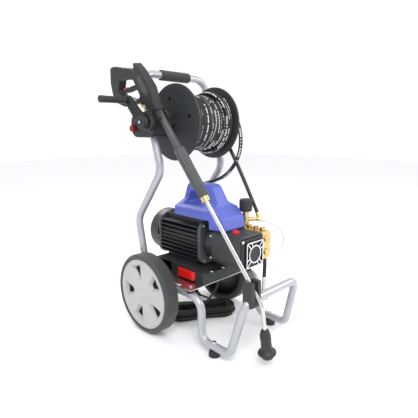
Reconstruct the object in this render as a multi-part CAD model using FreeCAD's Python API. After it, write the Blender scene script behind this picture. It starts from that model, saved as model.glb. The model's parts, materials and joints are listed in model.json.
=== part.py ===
"""Hose-reel pressure washer: steel tube trolley, electric motor, triplex pump, reel, gun and lance.

Millimetres, +Z up, front towards -Y, seen from the front +X is on the right. Everything is laid out
about the point on the floor below the middle of the axle; the finished parts are then moved so that
the origin is the middle of the underside of the whole machine.
"""
import FreeCAD, Part
import math
import os

V = FreeCAD.Vector

# ---------------------------------------------------------------- driving dimensions
CLEAR = 0.3                    # gap between faces that move past each other
RUN_FIT = 0.08                 # radial play of a shaft in its hole

# trolley frame
TUBE_R, TUBE_WALL = 14.0, 2.0
FRAME_X = 157.0                # side tubes, from the mid-plane
RUN_Z = 184.0                  # upper run of the side tubes
GROUND_RUN_Z = 32.0
LEG_Y = -240.0                 # where the side tubes drop to the ground run
TOE_Y = -372.0
CROSSBAR_X, CROSSBAR_Y, CROSSBAR_Z = 140.0, -420.0, 222.0
JOINT_Y, JOINT_Z = 80.0, 266.0
KNEE_Y, KNEE_Z = 110.0, 412.0
ELBOW_Y, ELBOW_Z = -38.0, 604.0
TOP_Y, TOP_Z = 67.0, 947.0
FOAM_R, FOAM_LENGTH = 19.0, 138.0
FOOT_R, FOOT_Y, FOOT_H = 20.0, -302.0, 22.0

# wheels
WHEEL_R, WHEEL_WIDTH, WHEEL_FACE_X = 150.0, 60.0, 235.0
RIM_R = 132.0
RIM_BARREL, RIM_FACE, HUB_R = 6.0, 9.0, 30.0
RIM_TURN = -20.0               # first rim window, from straight up
AXLE_R = 10.0
BRACKET_T = 6.0

# base plate, switch box and motor bracket
PLATE_X, PLATE_REAR_X, PLATE_FRONT_Y, PLATE_NOTCH_Y, PLATE_REAR_Y = 183.0, 165.0, -214.0, -152.0, 62.0
BUFFER_H, PLATE_T = 12.0, 3.0
BOX_X, BOX_FRONT_Y, BOX_REAR_Y, BOX_H, BOX_WALL = 118.0, -212.0, -33.0, 41.0, 3.0
BRACKET_X, BRACKET_FRONT_Y, MOTOR_BRACKET_T = 112.0, -228.0, 4.0
SWITCH_Y, SWITCH_LENGTH, SWITCH_H, SWITCH_PROUD, SWITCH_DROP = -124.0, 88.0, 30.0, 11.0, 19.0
GUIDE_R, GUIDE_T = 7.0, 5.0

# motor
MOTOR_HALF, MOTOR_CORE_R, MOTOR_WALL = 86.0, 74.0, 6.0
MOTOR_FRONT_Y, MOTOR_REAR_Y = -140.0, 70.0
SHIELD_T, FIN_T, FIN_PITCH, FIN_LAND = 15.0, 3.0, 15.5, 4
LUG_X, LUG_Z, LUG_R = 62.0, 66.0, 11.0
FAN_COVER_R, FAN_COVER_LENGTH, FAN_COVER_T = 86.0, 56.0, 2.0
SHAFT_R, ROTOR_R, STATOR_R_IN = 12.0, 38.0, 39.0
BEARING_R = 26.0

# pump
FLANGE_R, FLANGE_REAR_Y, CASE_REAR_Y, CASE_FRONT_Y = 66.0, -155.0, -208.0, -338.0
CASE_LEFT_X, CASE_RIGHT_X, CASE_DOWN, CASE_UP = -78.0, 50.0, 56.0, 57.0
CASE_WALL = 8.0
COVER_HALF, COVER_T, COVER_MID_X, COVER_DROP = 45.0, 8.0, -3.0, 9.5
COVER_RING_OUT, COVER_RING_IN, COVER_DISC_R = 32.0, 27.5, 27.0
OIL_CAP_X, OIL_CAP_Y, OIL_CAP_R, OIL_CAP_H = -34.0, -284.0, 13.0, 11.0
FILLER_R = 7.0
HEAD_RIGHT_X, HEAD_FRONT_Y, HEAD_REAR_Y, HEAD_DOWN, HEAD_UP = 104.0, -332.0, -212.0, 46.0, 54.0
PLUNGER_R, PLUNGER_PITCH, CRANK_THROW = 8.0, 29.0, 6.0
VALVE_R, VALVE_H = 12.5, 11.0
UNLOADER_X, UNLOADER_Y, UNLOADER_R, UNLOADER_H = 85.0, -228.0, 12.0, 56.0
KNOB_R, KNOB_H = 24.5, 46.0

# top cover with its carrying loop
COVER_X, COVER_REAR_Y, COVER_FRONT_Y, COVER_WALL = 80.0, -8.0, -256.0, 3.0
COVER_SIDE_Z, COVER_NOSE_Z, LOOP_TOP_Z = 434.0, 400.0, 553.0
LOOP_X = 23.0

# hoses and cord
HOSE_R, TUBE_HOSE_R, CHEMICAL_R, CORD_R = 7.25, 7.0, 2.5, 4.5
FEED_X, FEED_FOOT_Y, FEED_FOOT_Z, FERRULE_LENGTH = 129.0, -262.0, 421.0, 26.0
FERRULE_R = 9.0
COUPLING_NECK, COUPLING_LENGTH, COUPLING_DEPTH, COUPLING_R, COUPLING_BORE_R = 56.0, 34.0, 18.0, 16.5, 13.2
TAIL_COUPLING_R, TAIL_COUPLING_LENGTH = 10.0, 44.0

# reel
REEL_Y, REEL_Z = -46.0, 773.0
DISC_R, DISC_T = 134.0, 8.0
DISC_HOLE_AT, DISC_HOLE_R, DISC_HOLE_TURN = 84.0, 7.5, -14.0
REEL_LEFT_X, REEL_RIGHT_X = -95.0, 92.0
DRUM_R, DRUM_WALL = 57.0, 4.0
WIND_R, WIND_RAISED_R, WIND_STEP_X = 101.0, 115.0, 45.0
REEL_AXLE_R = 12.0
HOUSING_OUT_X, HOUSING_IN_X, HOUSING_HALF_Y, HOUSING_HALF_Z = -205.0, -118.0, 64.0, 47.0
CRANK_IN_X, CRANK_T, CRANK_DY, CRANK_DZ = -228.0, 15.0, 78.0, 73.0
CRANK_GRIP_R, CRANK_GRIP_LENGTH = 12.0, 104.0
SWIVEL_R, SWIVEL_X0 = 17.0, 112.0
BRACKET_RIGHT_X, BRACKET_REACH = 176.0, 3.0
LOCK_Y, LOCK_Z, LOCK_R, LOCK_H = 46.0, 753.0, 9.0, 14.0

# gun and lance: a straight line from the gun down to the wand's bend
LANCE_TOP = V(-205.0, 32.0, 962.0)
LANCE_BEND = V(-102.0, -455.0, 209.0)
BEND_DEG = 30.0
GUN_HALF = 16.0
TRIGGER_PIN, TRIGGER_PIN_R, TRIGGER_PIN_HALF = (-166.0, 18.0), 2.5, 11.0
TRIGGER_HALF = 4.5
LATCH_PIN = (-209.4, 106.6)
SLEEVE_R, INSULATION_R, PIPE_R = 12.0, 20.0, 6.5
SLEEVE_START, INSULATION_START, INSULATION_END, KNURL_END, NUT_END = -66.0, 106.0, 254.0, 284.0, 302.0
NOZZLE_START, NOZZLE_CUP, NOZZLE_END, NOZZLE_R, CUP_R = 94.0, 150.0, 182.0, 17.5, 30.0

# plug and coil of the mains cord
HANK_X, HANK_Y, HANK_A, HANK_B, HANK_TURN, HANK_WAIST, HANK_H = 24.0, -56.0, 150.0, 66.0, -32.0, 51.0, 48.0
GLAND_X, GLAND_Y, GLAND_R, GLAND_LENGTH = 22.0, -148.0, 12.0, 30.0

# sizes that follow from the ones above
PLATE_Z = RUN_Z + TUBE_R + BUFFER_H
PLATE_TOP = PLATE_Z + PLATE_T
BOX_TOP = PLATE_TOP + BOX_H
MOTOR_FLOOR = BOX_TOP + MOTOR_BRACKET_T
MOTOR_Z = MOTOR_FLOOR + MOTOR_HALF - 2.0
WHEEL_IN_X = WHEEL_FACE_X - WHEEL_WIDTH
HEAD_TOP = MOTOR_Z + HEAD_UP
CASE_TOP = MOTOR_Z + CASE_UP
KNOB_Z = HEAD_TOP + UNLOADER_H


# ---------------------------------------------------------------- helpers
def box(x0, x1, y0, y1, z0, z1):
    return Part.makeBox(abs(x1 - x0), abs(y1 - y0), abs(z1 - z0), V(min(x0, x1), min(y0, y1), min(z0, z1)))


def rod(start, end, radius):
    """A solid cylinder between two points."""
    return Part.makeCylinder(radius, (end - start).Length, start, end - start)


def rod_x(x0, x1, y, z, radius):
    return rod(V(x0, y, z), V(x1, y, z), radius)


def rod_y(y0, y1, x, z, radius):
    return rod(V(x, y0, z), V(x, y1, z), radius)


def rod_z(z0, z1, x, y, radius):
    return rod(V(x, y, z0), V(x, y, z1), radius)


def group(solids):
    return Part.makeCompound(list(solids))


def fuse(first, *others):
    return first.multiFuse(list(others)).removeSplitter()


def mirrored_x(shape):
    return shape.mirror(V(0, 0, 0), V(1, 0, 0))


def rounded_wire(points, radii, closed):
    """Straight runs joined by tangent arcs; radii is one number or one per inner corner."""
    count = len(points)
    corners = range(count) if closed else range(1, count - 1)
    edges = []
    start = None if closed else points[0]
    first = None
    for number, i in enumerate(corners):
        here = points[i]
        back = (points[i - 1] - here).normalize()
        ahead = (points[(i + 1) % count] - here).normalize()
        radius = radii[number] if isinstance(radii, (list, tuple)) else radii
        half = math.acos(max(-1.0, min(1.0, back.dot(ahead)))) / 2
        if radius <= 0 or half > math.pi / 2 - 1e-4:
            enter = leave = here
        else:
            reach = radius / math.tan(half)
            middle = here + (back + ahead).normalize() * (radius / math.sin(half) - radius)
            enter, leave = here + back * reach, here + ahead * reach
        if start is not None and (enter - start).Length > 1e-6:
            edges.append(Part.LineSegment(start, enter).toShape())
        if enter is not leave:
            edges.append(Part.Arc(enter, middle, leave).toShape())
        first = first or enter
        start = leave
    last = first if closed else points[-1]
    if (last - start).Length > 1e-6:
        edges.append(Part.LineSegment(start, last).toShape())
    return Part.Wire(edges)


def plate_shape(points, radii, depth):
    """A flat outline with rounded corners, pushed along a direction."""
    return Part.Face(rounded_wire(points, radii, True)).extrude(depth)


def swept(wire, start, direction, radius, inner=0.0):
    """A round bar along a wire, bored out when an inner radius is given."""
    bar = wire.makePipe(Part.Face(Part.Wire(Part.makeCircle(radius, start, direction))))
    if inner <= 0:
        return bar
    return bar.cut(wire.makePipe(Part.Face(Part.Wire(Part.makeCircle(inner, start, direction)))))


def bent_tube(points, radii, radius, inner=0.0):
    wire = rounded_wire(points, radii, False)
    return swept(wire, points[0], points[1] - points[0], radius, inner)


def cord_tube(name, points, radius):
    """A cord along its route: each corner's arc is as large as its two runs allow."""
    radii = []
    for before, here, after in zip(points, points[1:], points[2:]):
        run = min((here - before).Length, (after - here).Length)
        turn = (here - before).getAngle(after - here)
        radii.append(0.45 * run / math.tan(turn / 2))
    wire = rounded_wire(points, radii, False)
    solid = swept(wire, points[0], points[1] - points[0], radius)
    share = solid.Volume / (math.pi * radius ** 2 * wire.Length)
    print(f"{name}: length {wire.Length:.0f}, smallest radius {min(radii):.0f}, volume share {share:.3f}")
    return solid


def ring(x0, x1, y, z, outer, inner):
    return rod_x(x0, x1, y, z, outer).cut(rod_x(x0, x1, y, z, inner))


def around(shape, centre, axis, count):
    """Copies of a shape, evenly turned about an axis."""
    copies = []
    for i in range(count):
        copy = shape.copy()
        copy.rotate(centre, axis, 360.0 * i / count)
        copies.append(copy)
    return copies


# ---------------------------------------------------------------- trolley
def side_points(sign):
    x = sign * FRAME_X
    return [V(x, JOINT_Y, JOINT_Z), V(x, JOINT_Y - 20, RUN_Z), V(x, LEG_Y, RUN_Z),
            V(x, LEG_Y, GROUND_RUN_Z), V(x, TOE_Y, GROUND_RUN_Z),
            V(sign * CROSSBAR_X, CROSSBAR_Y, CROSSBAR_Z)]


def handle_points():
    left = [V(-FRAME_X, JOINT_Y, JOINT_Z), V(-FRAME_X, KNEE_Y, KNEE_Z), V(-FRAME_X, ELBOW_Y, ELBOW_Z),
            V(-FRAME_X, TOP_Y, TOP_Z)]
    return left + [V(-p.x, p.y, p.z) for p in reversed(left)]


def upright_bar(sign, radius):
    start = V(sign * FRAME_X, ELBOW_Y, ELBOW_Z)
    return rod(start, V(sign * FRAME_X, TOP_Y, TOP_Z), radius)


def frame_bar(inner=0.0):
    """The lower frame's one bent tube, solid unless an inner radius is given."""
    left = side_points(-1)
    right = [V(-p.x, p.y, p.z) for p in left]
    bends = [55.0, 52.0, 38.0, 30.0, 42.0]
    return bent_tube(left + right[::-1], bends + bends[::-1], TUBE_R, inner)


def lower_frame():
    tube = frame_bar(TUBE_R - TUBE_WALL)
    bracket = plate_shape([V(0, -45, RUN_Z - TUBE_R + 4), V(0, 45, RUN_Z - TUBE_R + 4),
                           V(0, 24, WHEEL_R - 2 * AXLE_R), V(0, -24, WHEEL_R - 2 * AXLE_R)],
                          [4, 4, 14, 14], V(BRACKET_T, 0, 0))
    bracket = bracket.cut(rod_x(-1, BRACKET_T + 1, 0, WHEEL_R, AXLE_R))
    for x in (-FRAME_X - BRACKET_T / 2, FRAME_X - BRACKET_T / 2):
        plate = bracket.copy()
        plate.translate(V(x, 0, 0))
        bore = rod_y(-60, 60, math.copysign(FRAME_X, x), RUN_Z, TUBE_R - TUBE_WALL / 2)
        tube = tube.fuse(plate.cut(bore))
    return tube


def frame_fasteners():
    """Spigots inside the two tube joints, and the screws of the joints, feet, plate and bracket."""
    pieces = []
    down = V(0, JOINT_Y - KNEE_Y, JOINT_Z - KNEE_Z).normalize()
    for sign in (-1, 1):
        seat = V(sign * FRAME_X, JOINT_Y, JOINT_Z)
        low = V(0, -20, RUN_Z - JOINT_Z).normalize()
        pieces.append(rod(seat, seat - down * 45, TUBE_R - TUBE_WALL))
        pieces.append(rod(seat, seat + low * 26, TUBE_R - TUBE_WALL))
        middle = seat - down * 28
        pieces.append(rod(middle + V(sign * TUBE_R, 0, 0), middle + V(sign * (TUBE_R + 4), 0, 0), 5.5))
        pieces.append(rod_z(FOOT_H - 4, FOOT_H, sign * FRAME_X, FOOT_Y, 5.0))
        run_top = GROUND_RUN_Z + TUBE_R
        pieces.append(rod_z(run_top - 1.5, run_top + 5, sign * FRAME_X, FOOT_Y, 6.5))
        for y in (PLATE_FRONT_Y + 26, PLATE_REAR_Y - 32):
            pieces.append(rod_z(PLATE_TOP, PLATE_TOP + 5, sign * FRAME_X, y, 6.5))
    for x in (-88.0, -29.0, 30.0, 89.0):
        pieces.append(rod_z(MOTOR_FLOOR, MOTOR_FLOOR + 4, x, BRACKET_FRONT_Y + 8, 6.0))
    return group(pieces)


def upper_part(shape):
    """The highest solid of a shape that a cut has divided."""
    return max(shape.Solids, key=lambda solid: solid.BoundBox.ZMax)


def rubber_mounts():
    """Two feet under the ground runs and four buffers under the plate."""
    bar = frame_bar()
    pieces = []
    for sign in (-1, 1):
        foot = Part.makeCone(FOOT_R, FOOT_R - 3, FOOT_H, V(sign * FRAME_X, FOOT_Y, 0))
        screw = rod_z(FOOT_H - 4, FOOT_H, sign * FRAME_X, FOOT_Y, 5.0)
        pieces.append(foot.cut(bar).cut(screw))
        for y in (PLATE_FRONT_Y + 26, PLATE_REAR_Y - 32):
            pad = rod_z(RUN_Z, PLATE_Z, sign * FRAME_X, y, 13.0)
            pieces.append(upper_part(pad.cut(bar)))
    return group(pieces)


def tyre(sign):
    side = [V(0, RIM_R, 0), V(0, WHEEL_R, 0), V(WHEEL_WIDTH, WHEEL_R, 0), V(WHEEL_WIDTH, RIM_R, 0)]
    band = Part.Face(rounded_wire(side, [0, 10, 10, 0], True)).revolve(V(0, 0, 0), V(1, 0, 0), 360)
    band.translate(V(WHEEL_IN_X, 0, WHEEL_R))
    return band if sign > 0 else mirrored_x(band)


def rim(sign):
    out, inner = WHEEL_FACE_X - 3, WHEEL_IN_X + 3
    barrel = ring(inner, out, 0, WHEEL_R, RIM_R, RIM_R - RIM_BARREL)
    face = rod_x(out - RIM_FACE, out, 0, WHEEL_R, RIM_R - RIM_BARREL)
    hub = rod_x(inner, out, 0, WHEEL_R, HUB_R)
    window = plate_shape([V(out - 2 * RIM_FACE, -9, WHEEL_R + 62), V(out - 2 * RIM_FACE, 9, WHEEL_R + 62),
                          V(out - 2 * RIM_FACE, 24, WHEEL_R + 100),
                          V(out - 2 * RIM_FACE, -24, WHEEL_R + 100)],
                         5.0, V(3 * RIM_FACE, 0, 0))
    window.rotate(V(0, 0, WHEEL_R), V(1, 0, 0), RIM_TURN)
    windows = around(window, V(0, 0, WHEEL_R), V(1, 0, 0), 5)
    solid = fuse(barrel, face, hub).cut(group(windows))
    solid = solid.cut(rod_x(inner - 1, out - RIM_FACE, 0, WHEEL_R, AXLE_R + RUN_FIT))
    return solid if sign > 0 else mirrored_x(solid)


def axle():
    """The axle rod and the ring either side that keeps each wheel off its bracket."""
    end = WHEEL_FACE_X - 3 - RIM_FACE - 2
    bar = rod_x(-end, end, 0, WHEEL_R, AXLE_R)
    spacer = ring(FRAME_X + BRACKET_T / 2, WHEEL_IN_X + 3 - CLEAR, 0, WHEEL_R, AXLE_R + 5, AXLE_R)
    return group([bar, spacer, mirrored_x(spacer)])


def foam_grip():
    half = FOAM_LENGTH / 2
    return ring(-half, half, TOP_Y, TOP_Z, FOAM_R, TUBE_R)


# ---------------------------------------------------------------- plate, box, motor
def base_plate():
    outline = [V(-PLATE_REAR_X, PLATE_REAR_Y, PLATE_Z), V(-PLATE_REAR_X, PLATE_NOTCH_Y, PLATE_Z),
               V(-PLATE_X, PLATE_NOTCH_Y, PLATE_Z), V(-PLATE_X, PLATE_FRONT_Y, PLATE_Z)]
    outline += [V(-p.x, p.y, p.z) for p in reversed(outline)]
    sheet = plate_shape(outline, [8, 0, 4, 6, 6, 4, 0, 8], V(0, 0, PLATE_T))
    return sheet.cut(frame_bar()).cut(rod_z(PLATE_Z - 1, PLATE_TOP + 1, GLAND_X, GLAND_Y, GLAND_R - 3))


def switch_box():
    corners = [V(-BOX_X, BOX_FRONT_Y, PLATE_TOP), V(BOX_X, BOX_FRONT_Y, PLATE_TOP),
               V(BOX_X, BOX_REAR_Y, PLATE_TOP), V(-BOX_X, BOX_REAR_Y, PLATE_TOP)]
    shell = plate_shape(corners, 6.0, V(0, 0, BOX_H))
    room = box(-BOX_X + BOX_WALL, BOX_X - BOX_WALL, BOX_FRONT_Y + BOX_WALL, BOX_REAR_Y - BOX_WALL,
               PLATE_TOP, BOX_TOP - BOX_WALL)
    z = BOX_TOP - SWITCH_DROP
    half, half_h = SWITCH_LENGTH / 2 + CLEAR, SWITCH_H / 2 + CLEAR
    inner = -BOX_X + BOX_WALL
    window = box(-BOX_X - 1, inner, SWITCH_Y - half, SWITCH_Y + half, z - half_h, z + half_h)
    carrier = box(inner, inner + GUIDE_T, SWITCH_Y - half - BOX_WALL, SWITCH_Y + half + BOX_WALL,
                  PLATE_TOP, BOX_TOP - BOX_WALL)
    guide = rod_x(inner - 1, inner + GUIDE_T + 1, SWITCH_Y, z, GUIDE_R)
    return fuse(shell.cut(room).cut(window), carrier).cut(guide)


def power_switch():
    """Push plate of the mains switch with the stub that guides it."""
    z = BOX_TOP - SWITCH_DROP
    y0, y1 = SWITCH_Y - SWITCH_LENGTH / 2, SWITCH_Y + SWITCH_LENGTH / 2
    x0 = -BOX_X - CLEAR
    x1 = -BOX_X - SWITCH_PROUD
    outline = [V(x0, y0, z - SWITCH_H / 2), V(x0, y1, z - SWITCH_H / 2), V(x1, y1 - 6, z - SWITCH_H / 2),
               V(x1, y0 + 6, z - SWITCH_H / 2)]
    cap = plate_shape(outline, [0, 0, 5, 5], V(0, 0, SWITCH_H))
    return cap.fuse(rod_x(x0, -BOX_X + BOX_WALL + GUIDE_T + 1, SWITCH_Y, z, GUIDE_R - RUN_FIT))


def cable_gland():
    nut = rod_z(PLATE_Z - GLAND_LENGTH / 2, PLATE_Z, GLAND_X, GLAND_Y, GLAND_R)
    sleeve = Part.makeCone(CORD_R + 1.5, GLAND_R - 3, GLAND_LENGTH / 2,
                           V(GLAND_X, GLAND_Y, PLATE_Z - GLAND_LENGTH))
    return fuse(nut, sleeve)


def motor_bracket():
    sheet = box(-BRACKET_X, BRACKET_X, BRACKET_FRONT_Y, PLATE_REAR_Y - 4, BOX_TOP, MOTOR_FLOOR)
    leg = box(-BRACKET_X, BRACKET_X, PLATE_REAR_Y - 4 - MOTOR_BRACKET_T, PLATE_REAR_Y - 4, PLATE_TOP, BOX_TOP)
    return fuse(sheet, leg)


def motor_housing():
    """Finned barrel on a cast foot: level fins on both sides, upright fins above."""
    length = MOTOR_REAR_Y - MOTOR_FRONT_Y
    corner = [V(sx * MOTOR_HALF, MOTOR_FRONT_Y, MOTOR_Z + sz * MOTOR_HALF)
              for sx, sz in ((-1, -1), (1, -1), (1, 1), (-1, 1))]
    envelope = plate_shape(corner, 42.0, V(0, length, 0))
    fins = []
    for step in range(-FIN_LAND, FIN_LAND + 1):
        offset = step * FIN_PITCH
        fins.append(box(-MOTOR_HALF, MOTOR_HALF, MOTOR_FRONT_Y, MOTOR_REAR_Y,
                        MOTOR_Z + offset - FIN_T / 2, MOTOR_Z + offset + FIN_T / 2))
        if abs(step) < FIN_LAND:
            fins.append(box(offset - FIN_T / 2, offset + FIN_T / 2, MOTOR_FRONT_Y, MOTOR_REAR_Y,
                            MOTOR_Z, MOTOR_Z + MOTOR_HALF))
    foot = box(-60, 60, MOTOR_FRONT_Y + 20, MOTOR_REAR_Y - 20, MOTOR_FLOOR, MOTOR_Z - MOTOR_CORE_R / 2)
    core = rod_y(MOTOR_FRONT_Y, MOTOR_REAR_Y, 0, MOTOR_Z, MOTOR_CORE_R)
    body = core.multiFuse([fin.common(envelope) for fin in fins] + [foot])
    body = body.cut(box(-200, 200, -400, 200, 0, MOTOR_FLOOR))
    return body.cut(rod_y(MOTOR_FRONT_Y - 1, MOTOR_REAR_Y + 1, 0, MOTOR_Z, MOTOR_CORE_R - MOTOR_WALL))


def end_shields():
    shields = []
    for y0, y1 in ((MOTOR_FRONT_Y - SHIELD_T, MOTOR_FRONT_Y), (MOTOR_REAR_Y, MOTOR_REAR_Y + SHIELD_T)):
        corners = [V(sx * MOTOR_HALF * 0.94, y0, MOTOR_Z + sz * MOTOR_HALF * 0.94)
                   for sx, sz in ((-1, -1), (1, -1), (1, 1), (-1, 1))]
        shield = plate_shape(corners, 34.0, V(0, y1 - y0, 0))
        inner = y0 if y1 <= MOTOR_FRONT_Y else y1
        shield = shield.cut(rod_y(y0 - 1, y1 + 1, 0, MOTOR_Z, SHAFT_R + 1))
        seat = (MOTOR_FRONT_Y - 11, MOTOR_FRONT_Y + 1) if inner == y0 else (MOTOR_REAR_Y - 1,
                                                                            MOTOR_REAR_Y + 11)
        shields.append(shield.cut(rod_y(seat[0], seat[1], 0, MOTOR_Z, BEARING_R)))
    return group(shields)


def motor_bearings():
    pieces = []
    for y0 in (MOTOR_FRONT_Y - 11, MOTOR_REAR_Y):
        pieces.append(rod_y(y0, y0 + 11, 0, MOTOR_Z,
                            BEARING_R).cut(rod_y(y0, y0 + 11, 0, MOTOR_Z, SHAFT_R + RUN_FIT)))
    return group(pieces)


def stator():
    outer = rod_y(MOTOR_FRONT_Y + 35, MOTOR_REAR_Y - 35, 0, MOTOR_Z, MOTOR_CORE_R - MOTOR_WALL)
    return outer.cut(rod_y(MOTOR_FRONT_Y + 34, MOTOR_REAR_Y - 34, 0, MOTOR_Z, STATOR_R_IN))


def rotor():
    shaft = rod_y(CASE_REAR_Y + 3, MOTOR_REAR_Y + SHIELD_T + 34, 0, MOTOR_Z, SHAFT_R)
    return fuse(shaft, rod_y(MOTOR_FRONT_Y + 35, MOTOR_REAR_Y - 35, 0, MOTOR_Z, ROTOR_R))


def cooling_fan():
    y0 = MOTOR_REAR_Y + SHIELD_T + 8
    hub = rod_y(y0, y0 + 24, 0, MOTOR_Z, 26.0)
    blade = box(-2, 2, y0, y0 + 22, MOTOR_Z + 24, MOTOR_Z + FAN_COVER_R - 12)
    fan = hub.multiFuse(around(blade, V(0, 0, MOTOR_Z), V(0, 1, 0), 9))
    return fan.cut(rod_y(y0 - 1, y0 + 26, 0, MOTOR_Z, SHAFT_R))


def fan_cover():
    y0 = MOTOR_REAR_Y + SHIELD_T
    y1 = y0 + FAN_COVER_LENGTH
    outer = rod_y(y0, y1, 0, MOTOR_Z, FAN_COVER_R)
    outer = outer.makeFillet(12.0,
                             [e for e in outer.Edges if abs(e.CenterOfMass.y - y1) < 0.1 and e.Length > 10])
    cup = outer.cut(rod_y(y0 - 1, y1 - FAN_COVER_T - 6, 0, MOTOR_Z, FAN_COVER_R - FAN_COVER_T))
    slots = []
    for radius in (22.0, 36.0, 50.0, 64.0):
        slot = rod_y(y1 - 12, y1 + 1, 0, MOTOR_Z, radius + 4).cut(rod_y(y1 - 13, y1 + 2, 0, MOTOR_Z, radius))
        for bar in ((-90, 90, -4, 4), (-4, 4, -90, 90)):
            slot = slot.cut(box(bar[0], bar[1], y1 - 13, y1 + 2, MOTOR_Z + bar[2], MOTOR_Z + bar[3]))
        slots.append(slot)
    return cup.cut(group(slots)).cut(box(-200, 200, 0, 400, 0, MOTOR_FLOOR + 0.5))


# ---------------------------------------------------------------- pump
def crankcase():
    corners = [V(CASE_LEFT_X, CASE_FRONT_Y, MOTOR_Z - CASE_DOWN),
               V(CASE_RIGHT_X, CASE_FRONT_Y, MOTOR_Z - CASE_DOWN),
               V(CASE_RIGHT_X, CASE_FRONT_Y, CASE_TOP), V(CASE_LEFT_X, CASE_FRONT_Y, CASE_TOP)]
    block = plate_shape(corners, [22, 14, 14, 16], V(0, CASE_REAR_Y - CASE_FRONT_Y, 0))
    bell = rod_y(CASE_REAR_Y, FLANGE_REAR_Y, 0, MOTOR_Z, FLANGE_R)
    room = box(CASE_LEFT_X + CASE_WALL, CASE_RIGHT_X - CASE_WALL, CASE_FRONT_Y - 1, CASE_REAR_Y - CASE_WALL,
               MOTOR_Z - CASE_DOWN + CASE_WALL, CASE_TOP - CASE_WALL)
    body = fuse(block, bell).cut(room).cut(rod_y(CASE_REAR_Y - 20, FLANGE_REAR_Y + 1, 0, MOTOR_Z,
                                                 SHAFT_R + 12))
    for y in plunger_places():
        body = body.cut(rod_x(CASE_RIGHT_X - CASE_WALL - 1, CASE_RIGHT_X + 1, y, MOTOR_Z, PLUNGER_R))
    filler = rod_z(CASE_TOP - CASE_WALL - 1, CASE_TOP + 1, OIL_CAP_X, OIL_CAP_Y, FILLER_R)
    return body.cut(filler)


def plunger_places():
    middle = (HEAD_FRONT_Y + HEAD_REAR_Y) / 2
    return [middle - PLUNGER_PITCH, middle, middle + PLUNGER_PITCH]


def cover_outline(half, y):
    z = MOTOR_Z - COVER_DROP
    return [V(COVER_MID_X + sx * half, y, z + sz * half) for sx, sz in ((-1, -1), (1, -1), (1, 1), (-1, 1))]


def crankcase_cover():
    """Square end cover: rim, ring and eight ribs stand proud of a sunk floor; a plain lid behind."""
    z = MOTOR_Z - COVER_DROP
    front = CASE_FRONT_Y - COVER_T
    lid = box(CASE_LEFT_X + CASE_WALL + 1, CASE_RIGHT_X - CASE_WALL - 1, CASE_FRONT_Y - 1, CASE_FRONT_Y + 6,
              MOTOR_Z - CASE_DOWN + CASE_WALL + 1, CASE_TOP - CASE_WALL - 1)
    plate = plate_shape(cover_outline(COVER_HALF, front), 9.0, V(0, COVER_T, 0))
    sunk = plate_shape(cover_outline(COVER_HALF - 4, front - 1), 6.0, V(0, COVER_T - 2, 0))
    collar = rod_y(front, front + COVER_T, COVER_MID_X, z, COVER_RING_OUT)
    ribs = []
    for i in range(8):
        rib = box(COVER_MID_X - 2, COVER_MID_X + 2, front, front + COVER_T, z + COVER_RING_OUT - 2, z + 62)
        rib.rotate(V(COVER_MID_X, 0, z), V(0, 1, 0), 45.0 * i + (20 if i % 2 else 45))
        ribs.append(rib.common(plate))
    dish = rod_y(front - 1, front + 3, COVER_MID_X, z, COVER_RING_IN)
    return fuse(plate.cut(sunk), collar, *ribs).cut(dish).fuse(lid)


def oil_cap():
    stem = rod_z(CASE_TOP - CASE_WALL, CASE_TOP, OIL_CAP_X, OIL_CAP_Y, FILLER_R - RUN_FIT)
    top = Part.makeCone(OIL_CAP_R, OIL_CAP_R - 3, OIL_CAP_H, V(OIL_CAP_X, OIL_CAP_Y, CASE_TOP))
    return fuse(stem, top)


def crankshaft():
    places = plunger_places()
    shaft = rod_y(places[0] - 16, CASE_REAR_Y + 3, 0, MOTOR_Z, SHAFT_R - 2)
    throws = []
    for i, y in enumerate(places):
        angle = math.radians(120 * i)
        throws.append(rod_y(y - 7, y + 7, CRANK_THROW * math.cos(angle),
                            MOTOR_Z + CRANK_THROW * math.sin(angle), 19.0))
    return fuse(shaft, *throws)


def plungers():
    """Three plungers, each with its crosshead, at mid stroke."""
    pieces = []
    for y in plunger_places():
        pieces.append(rod_x(CASE_RIGHT_X - CASE_WALL - 8, HEAD_RIGHT_X - 16, y, MOTOR_Z, PLUNGER_R - RUN_FIT))
    return group(pieces)


def pump_head():
    corners = [V(CASE_RIGHT_X, HEAD_FRONT_Y, MOTOR_Z - HEAD_DOWN),
               V(HEAD_RIGHT_X, HEAD_FRONT_Y, MOTOR_Z - HEAD_DOWN),
               V(HEAD_RIGHT_X, HEAD_FRONT_Y, HEAD_TOP), V(CASE_RIGHT_X, HEAD_FRONT_Y, HEAD_TOP)]
    block = plate_shape(corners, [2, 12, 16, 2], V(0, HEAD_REAR_Y - HEAD_FRONT_Y, 0))
    for y in plunger_places():
        block = block.cut(rod_x(CASE_RIGHT_X - 1, HEAD_RIGHT_X - 12, y, MOTOR_Z, PLUNGER_R))
    waist = [rod_z(MOTOR_Z - 60, MOTOR_Z + 70, HEAD_RIGHT_X + 2, y + PLUNGER_PITCH / 2, 6.0)
             for y in plunger_places()[:2]]
    port = rod_z(INLET_ROUTE[0].z, MOTOR_Z - HEAD_DOWN + 8, INLET_ROUTE[0].x, INLET_ROUTE[0].y, FERRULE_R)
    barb_end = CHEMICAL_ROUTE[-1]
    barb = rod_x(HEAD_RIGHT_X - 6, barb_end.x, barb_end.y, barb_end.z, CHEMICAL_R + 0.8)
    return fuse(block.cut(group(waist)), port, barb)


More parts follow.
